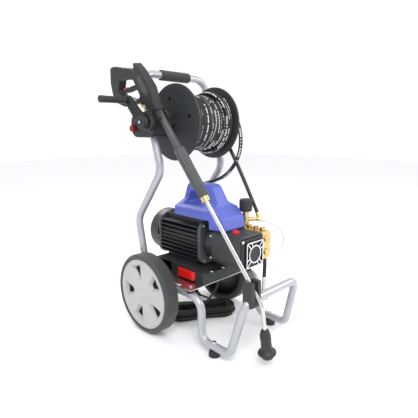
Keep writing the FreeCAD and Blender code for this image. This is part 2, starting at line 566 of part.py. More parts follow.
def valve_caps():
    """Three caps above, three at the side and one plug in front of the brass head."""
    pieces = []
    mid_x = (CASE_RIGHT_X + HEAD_RIGHT_X) / 2
    for y in plunger_places():
        pieces.append(rod_z(HEAD_TOP, HEAD_TOP + VALVE_H, mid_x - 2, y - 14, VALVE_R - 2))
        pieces.append(rod_x(HEAD_RIGHT_X, HEAD_RIGHT_X + VALVE_H - 2, y, MOTOR_Z + 26, VALVE_R - 1))
        pieces.append(rod_x(HEAD_RIGHT_X, HEAD_RIGHT_X + VALVE_H - 2, y, MOTOR_Z - 22, VALVE_R - 1))
    for z in (MOTOR_Z - 22, MOTOR_Z + 26):
        pieces.append(rod_y(HEAD_FRONT_Y - 6, HEAD_FRONT_Y, mid_x, z, VALVE_R))
    return group(pieces)


def unloader_body():
    stem = rod_z(HEAD_TOP, KNOB_Z, UNLOADER_X, UNLOADER_Y, UNLOADER_R)
    base = rod_z(HEAD_TOP, HEAD_TOP + 16, UNLOADER_X, UNLOADER_Y, UNLOADER_R + 3)
    return fuse(stem, base)


def unloader_knob():
    knob = rod_z(KNOB_Z + CLEAR, KNOB_Z + KNOB_H, UNLOADER_X, UNLOADER_Y, KNOB_R)
    return knob.makeFillet(5.0, [e for e in knob.Edges if abs(e.CenterOfMass.z - KNOB_Z - KNOB_H) < 0.1])


def feed_direction():
    return V(0, REEL_Y - FEED_FOOT_Y, REEL_Z - FEED_FOOT_Z).normalize()


def outlet_elbow():
    foot = V(FEED_X, FEED_FOOT_Y, FEED_FOOT_Z)
    arm = rod(V(UNLOADER_X, UNLOADER_Y, FEED_FOOT_Z), foot, 8.0).cut(
        rod_z(HEAD_TOP, KNOB_Z, UNLOADER_X, UNLOADER_Y, UNLOADER_R))
    start = CHEMICAL_ROUTE[0]
    barb = rod(start, start + V(0, 26, 1), CHEMICAL_R + 0.8)
    return fuse(arm, rod(foot - feed_direction() * 9, foot + feed_direction() * FERRULE_LENGTH, FERRULE_R),
                barb)


def feed_hose():
    foot = V(FEED_X, FEED_FOOT_Y, FEED_FOOT_Z) + feed_direction() * FERRULE_LENGTH
    head = V(FEED_X, REEL_Y, REEL_Z) - feed_direction() * 40
    span = head - foot
    side = V(0, -3, 1.8)
    points = [foot, foot + span * 0.3 + side, foot + span * 0.68 + side * 0.8, head]
    return cord_tube("feed_hose", points, TUBE_HOSE_R)


CHEMICAL_ROUTE = [V(112, -268, 420), V(113, -292, 419), V(140, -306, 409), V(184, -310, 386),
                  V(220, -311, 346),
                  V(218, -308, 302), V(176, -303, 284), V(138, -300, 292), V(114, -300, 303)]
INLET_ROUTE = [V(103, -308, 284), V(103.6, -309, 262), V(103, -308.6, 236), V(103.5, -308, 212)]
TAIL_ROUTE = [V(83, 60, 712), V(83, 92, 767), V(97, 108, 818), V(111, 84, 864), V(111, 22, 882),
              V(111, -54, 872), V(111, -122, 834), V(111, -166, 774), V(111, -181, 700), V(111, -161, 632),
              V(111, -108, 574), V(109, -44, 546), V(100, 0, 534), V(80, 14, 522), V(52, 14, 508)]
CORD_ROUTE = [V(22, -148, 180), V(21, -147, 150), V(16, -130, 118), V(9, -109, 88), V(0, -92, 62),
              V(-13, -78, 44)]
PLUG_ROUTE = [V(144, -84, 12), V(142, -50, 13), V(132, -12, 16), V(123, 20, 19.5), V(121, 54, 19.5)]


def inlet_coupling():
    """Ferrule and garden-hose coupling hanging on the short inlet hose."""
    end = INLET_ROUTE[-1]
    neck = end.z - COUPLING_NECK
    foot = neck - COUPLING_LENGTH
    ferrule = rod_z(neck, end.z, end.x, end.y, TUBE_HOSE_R + 0.6)
    socket = rod_z(foot - 1, foot + COUPLING_DEPTH, end.x, end.y, COUPLING_BORE_R)
    return fuse(ferrule, rod_z(foot, neck, end.x, end.y, COUPLING_R)).cut(socket)


# ---------------------------------------------------------------- cover
def cover_block(wall):
    """The hood's block, drawn in by wall all round: side view, front view and plan together."""
    y0, y1 = COVER_FRONT_Y + wall, COVER_REAR_Y - wall
    side = [V(0, y1, COVER_SIDE_Z), V(0, y1, 466 - wall), V(0, -30, LOOP_TOP_Z - wall),
            V(0, -156, LOOP_TOP_Z - wall),
            V(0, -200, 478 - wall), V(0, y0 + 18, 446 - wall), V(0, y0, COVER_NOSE_Z),
            V(0, -190, COVER_NOSE_Z),
            V(0, -190, COVER_SIDE_Z)]
    half = COVER_X - wall
    front = [V(-half, 0, COVER_NOSE_Z - 9), V(half, 0, COVER_NOSE_Z - 9), V(half, 0, 464 - wall),
             V(LOOP_X + 6, 0, 492 - wall), V(LOOP_X, 0, LOOP_TOP_Z + 9)]
    front += [V(-p.x, 0, p.z) for p in reversed(front[2:])]
    plan = [V(-half, y1, 0), V(-half, -184, 0), V(-half + 16, -198, 0), V(-half + 24, y0, 0)]
    plan += [V(-p.x, p.y, 0) for p in reversed(plan)]
    block = plate_shape(side, [3, 8, 26, 26, 22, 8, 5, 3, 3], V(2 * COVER_X, 0, 0))
    block.translate(V(-COVER_X, 0, 0))
    face = plate_shape(front, [0, 0, 10, 12, 6, 6, 12, 10], V(0, 400, 0))
    face.translate(V(0, -350, 0))
    return block.common(face).common(plate_shape(plan, [12, 8, 6, 18, 18, 6, 8, 12], V(0, 0, 700)))


def top_cover():
    window = plate_shape([V(-100, -34, 474), V(-100, -46, 521), V(-100, -138, 521), V(-100, -156, 476)],
                         [8, 14, 14, 8], V(200, 0, 0))
    inside = cover_block(COVER_WALL).common(box(-200, 200, -400, 200, 0, 468 - COVER_WALL))
    hood = cover_block(0).cut(window).cut(inside)
    posts = [box(x - 5, x + 5, y - 5, y + 5, MOTOR_Z + MOTOR_HALF, 467) for x in (-46.5,
                                                                                  46.5) for y in (-120, -30)]
    motor = rod_y(-200, 200, 0, MOTOR_Z, MOTOR_HALF)
    return hood.multiFuse([post.cut(motor) for post in posts])


# ---------------------------------------------------------------- reel
def reel_discs():
    discs = []
    for x0 in (REEL_LEFT_X - DISC_T, REEL_RIGHT_X):
        disc = ring(x0, x0 + DISC_T, REEL_Y, REEL_Z, DISC_R, REEL_AXLE_R)
        disc = disc.makeFillet(2.5, [e for e in disc.Edges if e.Length > 6 * DISC_R - 10])
        hole = rod_x(x0 - 1, x0 + DISC_T + 1, REEL_Y, REEL_Z + DISC_HOLE_AT, DISC_HOLE_R)
        hole.rotate(V(0, REEL_Y, REEL_Z), V(1, 0, 0), DISC_HOLE_TURN)
        discs.append(disc.cut(group(around(hole, V(0, REEL_Y, REEL_Z), V(1, 0, 0), 4))))
    return group(discs)


def reel_drum():
    """Drum between the discs, and the hollow axle that turns in the housing and the swivel."""
    barrel = ring(REEL_LEFT_X, REEL_RIGHT_X, REEL_Y, REEL_Z, DRUM_R, DRUM_R - DRUM_WALL)
    ends = [ring(x, x + 4, REEL_Y, REEL_Z, DRUM_R, REEL_AXLE_R) for x in (REEL_LEFT_X, REEL_RIGHT_X - 4)]
    shaft = ring(CRANK_IN_X, FEED_X - 4, REEL_Y, REEL_Z, REEL_AXLE_R, 4.0)
    return group([fuse(barrel, *ends), shaft])


def hose_winding():
    low = ring(REEL_LEFT_X, WIND_STEP_X, REEL_Y, REEL_Z, WIND_R, DRUM_R)
    return fuse(low, ring(WIND_STEP_X, REEL_RIGHT_X, REEL_Y, REEL_Z, WIND_RAISED_R, DRUM_R))


def reel_housing():
    y, z = REEL_Y + 50, REEL_Z - 4
    corners = [V(HOUSING_IN_X, y - HOUSING_HALF_Y, z - HOUSING_HALF_Z),
               V(HOUSING_IN_X, y + HOUSING_HALF_Y, z - HOUSING_HALF_Z),
               V(HOUSING_IN_X, y + HOUSING_HALF_Y, z + HOUSING_HALF_Z - 16),
               V(HOUSING_IN_X, y - HOUSING_HALF_Y, z + HOUSING_HALF_Z)]
    block = plate_shape(corners, [26, 34, 30, 18], V(HOUSING_OUT_X - HOUSING_IN_X, 0, 0))
    boss = rod_x(HOUSING_OUT_X - 18, HOUSING_OUT_X, REEL_Y, REEL_Z, 30.0)
    block = fuse(block, boss)
    block = block.cut(rod_x(HOUSING_OUT_X - 19, HOUSING_IN_X + 1, REEL_Y, REEL_Z, REEL_AXLE_R + RUN_FIT))
    block = block.cut(rod_x(HOUSING_OUT_X - 1, HOUSING_OUT_X + 20, LOCK_Y, LOCK_Z, LOCK_R))
    gun_room = flat([(-130, -80), (10, -80), (10, SLEEVE_R + 3), (-28, SLEEVE_R + 3), (-38, 28), (-90, 44),
                     (-130, 56)],
                    0.0, GUN_HALF + 2)
    return block.cut(upright_bar(-1, TUBE_R)).cut(placed(gun_room, LANCE_PLACE))


def right_bracket():
    block = box(FRAME_X - TUBE_R - BRACKET_REACH, BRACKET_RIGHT_X, REEL_Y - 26, 40, REEL_Z - 26, REEL_Z + 26)
    return block.cut(upright_bar(1, TUBE_R))


def reel_swivel():
    body = rod_x(SWIVEL_X0, FRAME_X - TUBE_R - BRACKET_REACH, REEL_Y, REEL_Z, SWIVEL_R)
    bore = rod_x(SWIVEL_X0 - 1, FEED_X, REEL_Y, REEL_Z, REEL_AXLE_R + RUN_FIT)
    port = V(FEED_X, REEL_Y, REEL_Z)
    arm = rod(port - feed_direction() * (SWIVEL_R - 4), port - feed_direction() * 40, FERRULE_R)
    return fuse(body, arm).cut(bore)


def hub_elbow():
    """Brass elbow on the left hub that leads from the hollow axle into the drum."""
    x = REEL_LEFT_X - DISC_T
    middle = (x + HOUSING_IN_X) / 2
    knee = V(middle, REEL_Y + 14, REEL_Z + 21)
    arm = rod(V(middle, REEL_Y, REEL_Z), knee, 5.0).cut(rod_x(-300, 300, REEL_Y, REEL_Z, REEL_AXLE_R))
    return fuse(arm, rod(V(x, knee.y, knee.z), knee - V(5.5, 0, 0), 7.0))


def reel_lock():
    pin = rod_x(HOUSING_OUT_X - 1, HOUSING_OUT_X + 18, LOCK_Y, LOCK_Z, LOCK_R - RUN_FIT)
    head = rod_x(HOUSING_OUT_X - 1 - LOCK_H, HOUSING_OUT_X - 1, LOCK_Y, LOCK_Z, LOCK_R + 2)
    return fuse(pin, head)


def crank_arm():
    x1 = CRANK_IN_X - CRANK_T
    pivot, grip = V(x1, REEL_Y, REEL_Z), V(x1, REEL_Y + CRANK_DY, REEL_Z + CRANK_DZ)
    across = V(0, -CRANK_DZ, CRANK_DY).normalize()
    blade = plate_shape([pivot + across * 21, pivot - across * 21, grip - across * 15, grip + across * 15],
                        0.0, V(CRANK_T, 0, 0))
    hub = rod_x(x1, CRANK_IN_X, REEL_Y, REEL_Z, 22.0)
    tip = rod_x(x1, CRANK_IN_X, grip.y, grip.z, 16.0)
    pin = rod_x(x1 - CRANK_GRIP_LENGTH + 8, x1, grip.y, grip.z, 5.0)
    return fuse(hub, blade, tip, pin)


def crank_grip():
    y, z = REEL_Y + CRANK_DY, REEL_Z + CRANK_DZ
    x1 = CRANK_IN_X - CRANK_T - CLEAR
    sleeve = rod_x(x1 - CRANK_GRIP_LENGTH, x1, y, z, CRANK_GRIP_R)
    sleeve = sleeve.makeFillet(3.0,
                               [e for e in sleeve.Edges if abs(e.CenterOfMass.x - x1 + CRANK_GRIP_LENGTH) < 0.1])
    return sleeve.cut(rod_x(x1 - CRANK_GRIP_LENGTH + 7.5, x1 + 1, y, z, 5.0 + RUN_FIT))


# ---------------------------------------------------------------- gun and lance
LANCE_WAY = (LANCE_BEND - LANCE_TOP).normalize()
LANCE_REAR = (V(0, 1, 0) - LANCE_WAY * LANCE_WAY.y).normalize()
LANCE_SIDE = LANCE_WAY.cross(LANCE_REAR)
LANCE_ZERO = LANCE_TOP + LANCE_WAY * ((REEL_Z - LANCE_TOP.z) / LANCE_WAY.z)
LANCE_PLACE = FreeCAD.Placement(LANCE_ZERO, FreeCAD.Rotation(LANCE_REAR, LANCE_SIDE, LANCE_WAY, "ZXY"))
BEND_S = (LANCE_BEND - LANCE_ZERO).Length
TIP_WAY = LANCE_WAY * math.cos(math.radians(BEND_DEG)) + LANCE_REAR * math.sin(math.radians(BEND_DEG))
TIP_PLACE = FreeCAD.Placement(LANCE_BEND, FreeCAD.Rotation(LANCE_REAR, LANCE_SIDE, TIP_WAY, "ZYX"))


def placed(shape, place):
    """Moves a piece drawn about its own axis (z down the lance, x to the rear) into the machine."""
    shape.Placement = place.multiply(shape.Placement)
    return shape


def flat(points, radii, half):
    outline = [V(rear, -half, along) for along, rear in points]
    return plate_shape(outline, radii, V(0, 2 * half, 0))


def gun_body():
    """Pistol-grip shell with a closed hand guard, drawn from the side."""
    outline = [(-229, -16), (-190, -27), (-120, -33), (-66, -14), (-44, -14), (-44, 22), (-92, 30),
               (-112, 34),
               (-118, 63), (-155, 134), (-191, 163), (-227, 166), (-265, 145), (-302, 107), (-292, 86),
               (-227, 15), (-212, 6), (-214, -4)]
    shell = flat(outline, [3, 30, 30, 8, 0, 0, 10, 5, 12, 20, 22, 22, 24, 12, 14, 14, 4, 3], GUN_HALF)
    hand = flat([(-237, 92), (-190, 26), (-126, 33), (-133, 67), (-193, 120), (-214, 128)],
                [10, 10, 6, 10, 16, 10], GUN_HALF + 1)
    slot = flat([(-188, 32), (-148, 32), (-148, 8), (-188, 8)], 0.0, TRIGGER_HALF + CLEAR)
    s, v = TRIGGER_PIN
    pin_hole = rod(V(v, -TRIGGER_PIN_HALF, s), V(v, TRIGGER_PIN_HALF, s), TRIGGER_PIN_R + RUN_FIT)
    return placed(shell.cut(hand).cut(slot).cut(pin_hole), LANCE_PLACE)


def trigger():
    lever = flat([(-176, 13), (-158, 13), (-163, 46), (-181, 88), (-200, 117), (-209, 112), (-191, 66),
                  (-179, 40)],
                 [5, 5, 20, 20, 3, 3, 20, 10], TRIGGER_HALF)
    s, v = TRIGGER_PIN
    half = TRIGGER_PIN_HALF - CLEAR
    eye_s, eye_v = LATCH_PIN
    seat = rod(V(eye_v, -GUN_HALF, eye_s), V(eye_v, GUN_HALF, eye_s), 2.2 + RUN_FIT)
    return placed(lever.fuse(rod(V(v, -half, s), V(v, half, s), TRIGGER_PIN_R)).cut(seat), LANCE_PLACE)


def trigger_latch():
    """Small lock that lies on the trigger's rear edge and turns on a pin at its lower end."""
    blade = flat([(-208, 108), (-211, 107), (-203, 86), (-199.6, 87.6)], 0.8, TRIGGER_HALF)
    s, v = LATCH_PIN
    pin = rod(V(v, -TRIGGER_HALF, s), V(v, TRIGGER_HALF, s), 2.2)
    return placed(blade.fuse(pin), LANCE_PLACE)


def lance_grip():
    sleeve = rod(V(0, 0, -44), V(0, 0, INSULATION_START), SLEEVE_R)
    grip = rod(V(0, 0, INSULATION_START), V(0, 0, INSULATION_END), INSULATION_R)
    knurl = rod(V(0, 0, INSULATION_END), V(0, 0, KNURL_END), INSULATION_R - 3)
    grip = grip.makeFillet(3.0, [e for e in grip.Edges if e.Length > 6 * INSULATION_R - 1 and e.Closed])
    return placed(fuse(sleeve, grip, knurl), LANCE_PLACE)


def brass_fittings():
    """The lance nut, and the hose inlet under the gun's grip."""
    nut = rod(V(0, 0, KNURL_END), V(0, 0, NUT_END), 14.0)
    inlet = rod(V(40, 0, -92), V(60, 0, -108), 9.0).cut(flat([(-92, 34), (-128, 44), (-128, 0), (-92, 0)],
                                                             0.0, 16.0))
    return placed(group([nut, inlet]), LANCE_PLACE)


def lance_pipe():
    tip = TIP_WAY * (NOZZLE_START + 20)
    return bent_tube([LANCE_ZERO + LANCE_WAY * NUT_END, LANCE_BEND, LANCE_BEND + tip], 45.0, PIPE_R,
                     PIPE_R - 1.5)


def nozzle_holder():
    body = rod(V(0, 0, NOZZLE_START), V(0, 0, NOZZLE_CUP), NOZZLE_R)
    collar = Part.makeCone(NOZZLE_R - 4, NOZZLE_R, 12, V(0, 0, NOZZLE_START - 12))
    side = [V(0, 0, NOZZLE_CUP), V(NOZZLE_R, 0, NOZZLE_CUP - 6), V(CUP_R, 0, NOZZLE_CUP + 10),
            V(CUP_R, 0, NOZZLE_CUP + 20), V(22, 0, NOZZLE_END), V(18, 0, NOZZLE_END),
            V(10, 0, NOZZLE_END - 16),
            V(0, 0, NOZZLE_END - 16)]
    cup = Part.Face(rounded_wire(side, [0, 0, 6, 4, 1, 1, 0, 0], True)).revolve(V(0, 0, 0), V(0, 0, 1), 360)
    solid = fuse(body, collar, cup)
    return placed(solid.cut(rod(V(0, 0, NOZZLE_START - 13), V(0, 0, NOZZLE_START + 21), PIPE_R + 0.1)),
                  TIP_PLACE)


def holders():
    """Clamp on the reel housing, cradle on the crossbar, and the clip behind the cover."""
    gap = 0.5
    clamp = flat([(-40, -13), (-12, -13), (-12, 34), (-40, 34)], 3.0, 22.0)
    clamp = clamp.cut(flat([(-60, -40), (10, -40), (10, 0), (-60, 0)], 0.0, SLEEVE_R + gap))
    clamp = clamp.cut(rod(V(0, 0, -60), V(0, 0, 10), SLEEVE_R + gap))
    clamp = placed(clamp, LANCE_PLACE).cut(reel_housing()).cut(rod_x(-300, 300, REEL_Y, REEL_Z,
                                                                     REEL_AXLE_R + 1))
    middle = LANCE_BEND - LANCE_WAY * 48
    cradle = box(middle.x - 28, middle.x + 19, CROSSBAR_Y - 18, CROSSBAR_Y + 17, CROSSBAR_Z - 17,
                 CROSSBAR_Z + 65)
    groove = PIPE_R + 2.0
    way = flat([(BEND_S - 160, -70), (BEND_S + 60, -70), (BEND_S + 60, 0), (BEND_S - 160, 0)], 0.0, groove)
    channel = rod(V(0, 0, BEND_S - 160), V(0, 0, BEND_S + 60), groove)
    past_bend = rod(V(0, 0, -groove), V(0, 0, 90), groove)
    cradle = cradle.cut(placed(way, LANCE_PLACE)).cut(placed(channel, LANCE_PLACE)).cut(placed(past_bend,
                                                                                               TIP_PLACE))
    cradle = max(cradle.cut(frame_bar()).Solids, key=lambda solid: solid.Volume)
    start, way = tail_end()
    middle = start + way * (TAIL_COUPLING_LENGTH / 2 + 6)
    clip = box(middle.x - 8, middle.x + 8, COVER_REAR_Y - 30, middle.y + 7, middle.z - 14, middle.z + 14)
    clip = clip.cut(rod(start, start + way * 90, TAIL_COUPLING_R)).cut(cover_block(0))
    return group([clamp, cradle, clip])


def tail_end():
    start = TAIL_ROUTE[-1]
    return start, (start - TAIL_ROUTE[-2]).normalize()


def hose_coupling():
    """Ferrule and coupling on the free end of the pressure hose."""
    start, way = tail_end()
    ferrule = rod(start, start + way * (TAIL_COUPLING_LENGTH / 2), HOSE_R + 1.2)
    return fuse(ferrule, rod(start + way * (TAIL_COUPLING_LENGTH / 2), start + way * TAIL_COUPLING_LENGTH,
                             TAIL_COUPLING_R))


# ---------------------------------------------------------------- mains cord
def tied_hank():
    """The tied hank of mains cord lying on the floor: two round ends and a drawn-in waist."""
    corner_x, corner_y = HANK_A * 0.78, HANK_B * 0.5
    half = [V(0, -HANK_WAIST, 0), V(corner_x, -HANK_B, 0), V(HANK_A, -corner_y, 0), V(HANK_A, corner_y, 0),
            V(corner_x, HANK_B, 0)]
    outline = half + [p * -1 for p in half]
    hank = plate_shape(outline, [160, 30, 26, 26, 30] * 2, V(0, 0, HANK_H))
    hank.rotate(V(0, 0, 0), V(0, 0, 1), HANK_TURN)
    hank.translate(V(HANK_X, HANK_Y, 0))
    return hank


def mains_plug():
    """Round two-pin earthed plug lying on the floor behind the hank."""
    start = PLUG_ROUTE[-1]
    way = (start - PLUG_ROUTE[-2]).normalize()
    across = V(way.y, -way.x, 0)
    relief = Part.makeCone(CORD_R + 1.5, 14.0, 26, start, way)
    body = rod(start + way * 26, start + way * 58, 19.0)
    pins = [rod(start + way * 58 + across * side, start + way * 77 + across * side, 2.4) for side in (-9.5,
                                                                                                      9.5)]
    return fuse(relief, body, pins[0], pins[1])


def build():
    nodes = {
        "lower_frame": lower_frame(),
        "handle_frame": bent_tube(handle_points(), [70.0, 70.0, 52.0, 52.0, 70.0, 70.0], TUBE_R,
                                  TUBE_R - TUBE_WALL),
        "frame_fasteners": frame_fasteners(),
        "foam_grip": foam_grip(),
        "rubber_mounts": rubber_mounts(),
        "axle": axle(),
        "tyre_left": tyre(-1),
        "tyre_right": tyre(1),
        "rim_left": rim(-1),
        "rim_right": rim(1),
        "base_plate": base_plate(),
        "switch_box": switch_box(),
        "power_switch": power_switch(),
        "cable_gland": cable_gland(),
        "motor_bracket": motor_bracket(),
        "motor_housing": motor_housing(),
        "end_shields": end_shields(),
        "motor_bearings": motor_bearings(),
        "stator": stator(),
        "rotor": rotor(),
        "cooling_fan": cooling_fan(),
        "fan_cover": fan_cover(),
        "casing_bolts": casing_bolts(),
        "crankcase": crankcase(),
        "crankcase_cover": crankcase_cover(),
        "oil_cap": oil_cap(),
        "crankshaft": crankshaft(),
        "plungers": plungers(),
        "pump_head": pump_head(),
        "valve_caps": valve_caps(),
        "unloader_body": unloader_body(),
        "unloader_knob": unloader_knob(),
        "outlet_elbow": outlet_elbow(),
        "feed_hose": feed_hose(),
        "chemical_tube": cord_tube("chemical_tube", CHEMICAL_ROUTE, CHEMICAL_R),
        "inlet_hose": cord_tube("inlet_hose", INLET_ROUTE, TUBE_HOSE_R - 0.4),
        "inlet_coupling": inlet_coupling(),
        "top_cover": top_cover(),
        "reel_discs": reel_discs(),
        "reel_drum": reel_drum(),
        "reel_brackets": group([reel_housing(), right_bracket()]),
        "reel_swivel": reel_swivel(),
        "hub_elbow": hub_elbow(),
        "reel_lock": reel_lock(),
        "crank_arm": crank_arm(),
        "crank_grip": crank_grip(),
        "hose_winding": hose_winding(),
        "hose_tail": cord_tube("hose_tail", TAIL_ROUTE, HOSE_R),
        "hose_coupling": hose_coupling(),
        "gun_body": gun_body(),
        "trigger": trigger(),
        "trigger_latch": trigger_latch(),
        "lance_grip": lance_grip(),
        "lance_pipe": lance_pipe(),
        "brass_fittings": brass_fittings(),
        "nozzle_holder": nozzle_holder(),
        "holders": holders(),
        "power_cord": group([cord_tube("power_cord", CORD_ROUTE, CORD_R),
                             cord_tube("plug_lead", PLUG_ROUTE, CORD_R)]),
        "cord_coil": tied_hank(),
        "mains_plug": mains_plug(),
    }
    return nodes


def casing_bolts():
    """Screws of the motor's end shield, the pump flange and the crankcase cover."""
    pieces = []
    shield_y = MOTOR_FRONT_Y - SHIELD_T
    for sx in (-1, 1):
        for sz in (-1, 1):
            pieces.append(rod_y(shield_y - 7, shield_y, sx * LUG_X, MOTOR_Z + sz * LUG_Z, 6.0))
            pieces.append(rod_y(CASE_REAR_Y, CASE_REAR_Y + 8, sx * 72.0, MOTOR_Z + sz * 40.0, 5.5))
    cover_z = MOTOR_Z - COVER_DROP
    for z in (cover_z - 46, cover_z + 52):
        pieces.append(rod_y(CASE_FRONT_Y - 6, CASE_FRONT_Y, CASE_LEFT_X + 13, z, 5.5))
    return group(pieces)


CORD_NODES = ("feed_hose", "chemical_tube", "inlet_hose", "inlet_coupling", "hose_tail", "hose_coupling",
              "power_cord", "cord_coil", "mains_plug")


def machine_origin(nodes):
    """Middle of the underside of everything but the cords, to the millimetre."""
    whole = FreeCAD.BoundBox()
    for name, shape in nodes.items():
        if name not in CORD_NODES:
            whole.add(shape.optimalBoundingBox(False, False))
    return V(round(whole.Center.x), round(whole.Center.y), round(whole.ZMin))


def main():
    os.makedirs("parts", exist_ok=True)
    nodes = build()
    origin = machine_origin(nodes)
    print("origin", origin)
    for name, shape in nodes.items():
        shape.translate(origin * -1)
        shape.exportStep(f"parts/{name}.step")
        print(name, len(shape.Solids), round(shape.Volume), shape.isValid())


main()
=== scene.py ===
"""Looks of the pressure washer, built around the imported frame."""
import json
import math
import random

import bmesh
import bpy
from mathutils import Matrix, Vector, noise

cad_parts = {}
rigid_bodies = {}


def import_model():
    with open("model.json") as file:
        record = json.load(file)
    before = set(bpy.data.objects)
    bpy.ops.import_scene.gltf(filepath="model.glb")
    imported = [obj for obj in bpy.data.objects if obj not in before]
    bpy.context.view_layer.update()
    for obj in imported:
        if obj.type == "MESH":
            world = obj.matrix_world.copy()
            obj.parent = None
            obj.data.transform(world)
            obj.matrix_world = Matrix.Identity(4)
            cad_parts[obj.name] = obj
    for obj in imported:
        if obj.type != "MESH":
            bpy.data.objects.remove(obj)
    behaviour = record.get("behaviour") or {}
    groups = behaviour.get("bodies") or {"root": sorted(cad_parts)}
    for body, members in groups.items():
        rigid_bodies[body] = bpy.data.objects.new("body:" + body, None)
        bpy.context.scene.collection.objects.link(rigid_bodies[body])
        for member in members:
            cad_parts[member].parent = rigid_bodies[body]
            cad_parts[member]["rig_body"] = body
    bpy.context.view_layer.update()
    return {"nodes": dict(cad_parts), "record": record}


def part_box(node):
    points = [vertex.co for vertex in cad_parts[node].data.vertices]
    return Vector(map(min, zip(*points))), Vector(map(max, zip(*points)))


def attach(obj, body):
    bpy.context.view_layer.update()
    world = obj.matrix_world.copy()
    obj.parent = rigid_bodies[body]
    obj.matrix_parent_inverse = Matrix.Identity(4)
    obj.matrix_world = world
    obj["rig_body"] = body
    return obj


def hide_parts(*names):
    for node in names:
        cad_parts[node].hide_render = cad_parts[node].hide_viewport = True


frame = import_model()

NODES = frame["nodes"]
SLOTS = {row["node"]: row["material_slot"] for row in frame["record"]["subparts"]}
SCENE = bpy.context.scene

TAU = 2 * math.pi

# the machine's main places, in millimetres from its middle, the axle line and the floor
AXLE_Z, WHEEL_X, RIM_EDGE_X = 150, 205, 215.5
REEL_Y, REEL_Z = -46, 773

low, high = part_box("axle")
ORIGIN = (Vector(low) + Vector(high)) / 2 - Vector((0, 0, AXLE_Z / 1000))


def at(x, y, z):
    """A point given in millimetres from the machine's middle, axle line and floor."""
    return ORIGIN + Vector((x, y, z)) / 1000


def body_of(node):
    return NODES[node]["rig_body"]


# ---------------------------------------------------------------- materials
class Nodes:
    """Small helper that builds one node material."""

    def __init__(self, name, color, rough, metal=0.0, **sockets):
        self.material = bpy.data.materials.new(name)
        self.material.use_nodes = True
        self.tree = self.material.node_tree
        self.shader = self.tree.nodes["Principled BSDF"]
        self.shader.inputs["Base Color"].default_value = (*color, 1)
        self.shader.inputs["Roughness"].default_value = rough
        self.shader.inputs["Metallic"].default_value = metal
        for key, value in sockets.items():
            self.shader.inputs[key.replace("_", " ")].default_value = value
        self.bumps = None

    def add(self, kind, **values):
        node = self.tree.nodes.new("ShaderNode" + kind)
        for key, value in values.items():
            if hasattr(node, key):
                setattr(node, key, value)
            else:
                node.inputs[key.replace("_", " ")].default_value = value
        return node

    def link(self, source, target):
        self.tree.links.new(source, target)

    def coords(self, scale=(1, 1, 1)):
        mapping = self.add("Mapping")
        mapping.inputs["Scale"].default_value = scale
        self.link(self.add("TexCoord").outputs["Object"], mapping.inputs["Vector"])
        return mapping.outputs["Vector"]

    def noise(self, scale, detail=3.0, vector=None, roughness=0.55):
        texture = self.add("TexNoise", Scale=scale, Detail=detail, Roughness=roughness)
        self.link(vector or self.coords(), texture.inputs["Vector"])
        return texture.outputs["Fac"]

    def span(self, value, low, high, start=0.0, end=1.0):
        node = self.add("MapRange")
        for key, number in (("From Min", low), ("From Max", high), ("To Min", start), ("To Max", end)):
            node.inputs[key].default_value = number
        self.link(value, node.inputs["Value"])
        return node.outputs["Result"]

    def math(self, operation, first, second=0.0):
        node = self.add("Math", operation=operation)
        for socket, value in zip(node.inputs, (first, second)):
            if isinstance(value, (int, float)):
                socket.default_value = value
            else:
                self.link(value, socket)
        return node.outputs["Value"]

    def tint(self, mask, color):
        """Blends the base colour towards another by a mask."""
        target = self.shader.inputs["Base Color"]
        mix = self.add("Mix", data_type="RGBA")
        if target.is_linked:
            self.link(target.links[0].from_socket, mix.inputs[6])
        else:
            mix.inputs[6].default_value = target.default_value
        mix.inputs[7].default_value = (*color, 1)
        self.link(mask, mix.inputs[0])
        self.link(mix.outputs[2], target)
        return self

    def mottle(self, color, scale=9.0, amount=0.5, vector=None):
        return self.tint(self.span(self.noise(scale, 4.0, vector), 0.35, 0.75, 0.0, amount), color)

    def gloss(self, low, high, scale=30.0, vector=None):
        patches = self.span(self.noise(scale, 4.0, vector), 0.3, 0.7, low, high)
        self.link(patches, self.shader.inputs["Roughness"])
        return self

    def bump(self, height, depth, strength=1.0):
        node = self.add("Bump", Distance=depth, Strength=strength)
        self.link(height, node.inputs["Height"])
        if self.bumps:
            self.link(self.bumps, node.inputs["Normal"])
        self.bumps = node.outputs["Normal"]
        self.link(self.bumps, self.shader.inputs["Normal"])
        return self

    def grain(self, scale, depth, strength=0.5, vector=None):
        return self.bump(self.noise(scale, 3.0, vector), depth, strength)


def plastic(name, color, rough=0.5, fine=900.0, depth=0.0002):
    made = Nodes(name, color, rough, Specular_IOR_Level=0.45)
    lighter = [min(1.0, c * 1.35 + 0.01) for c in color]
    made.mottle(lighter, 7.0, 0.35).gloss(rough - 0.07, rough + 0.09, 22.0)
    return made.grain(fine, depth, 0.35)


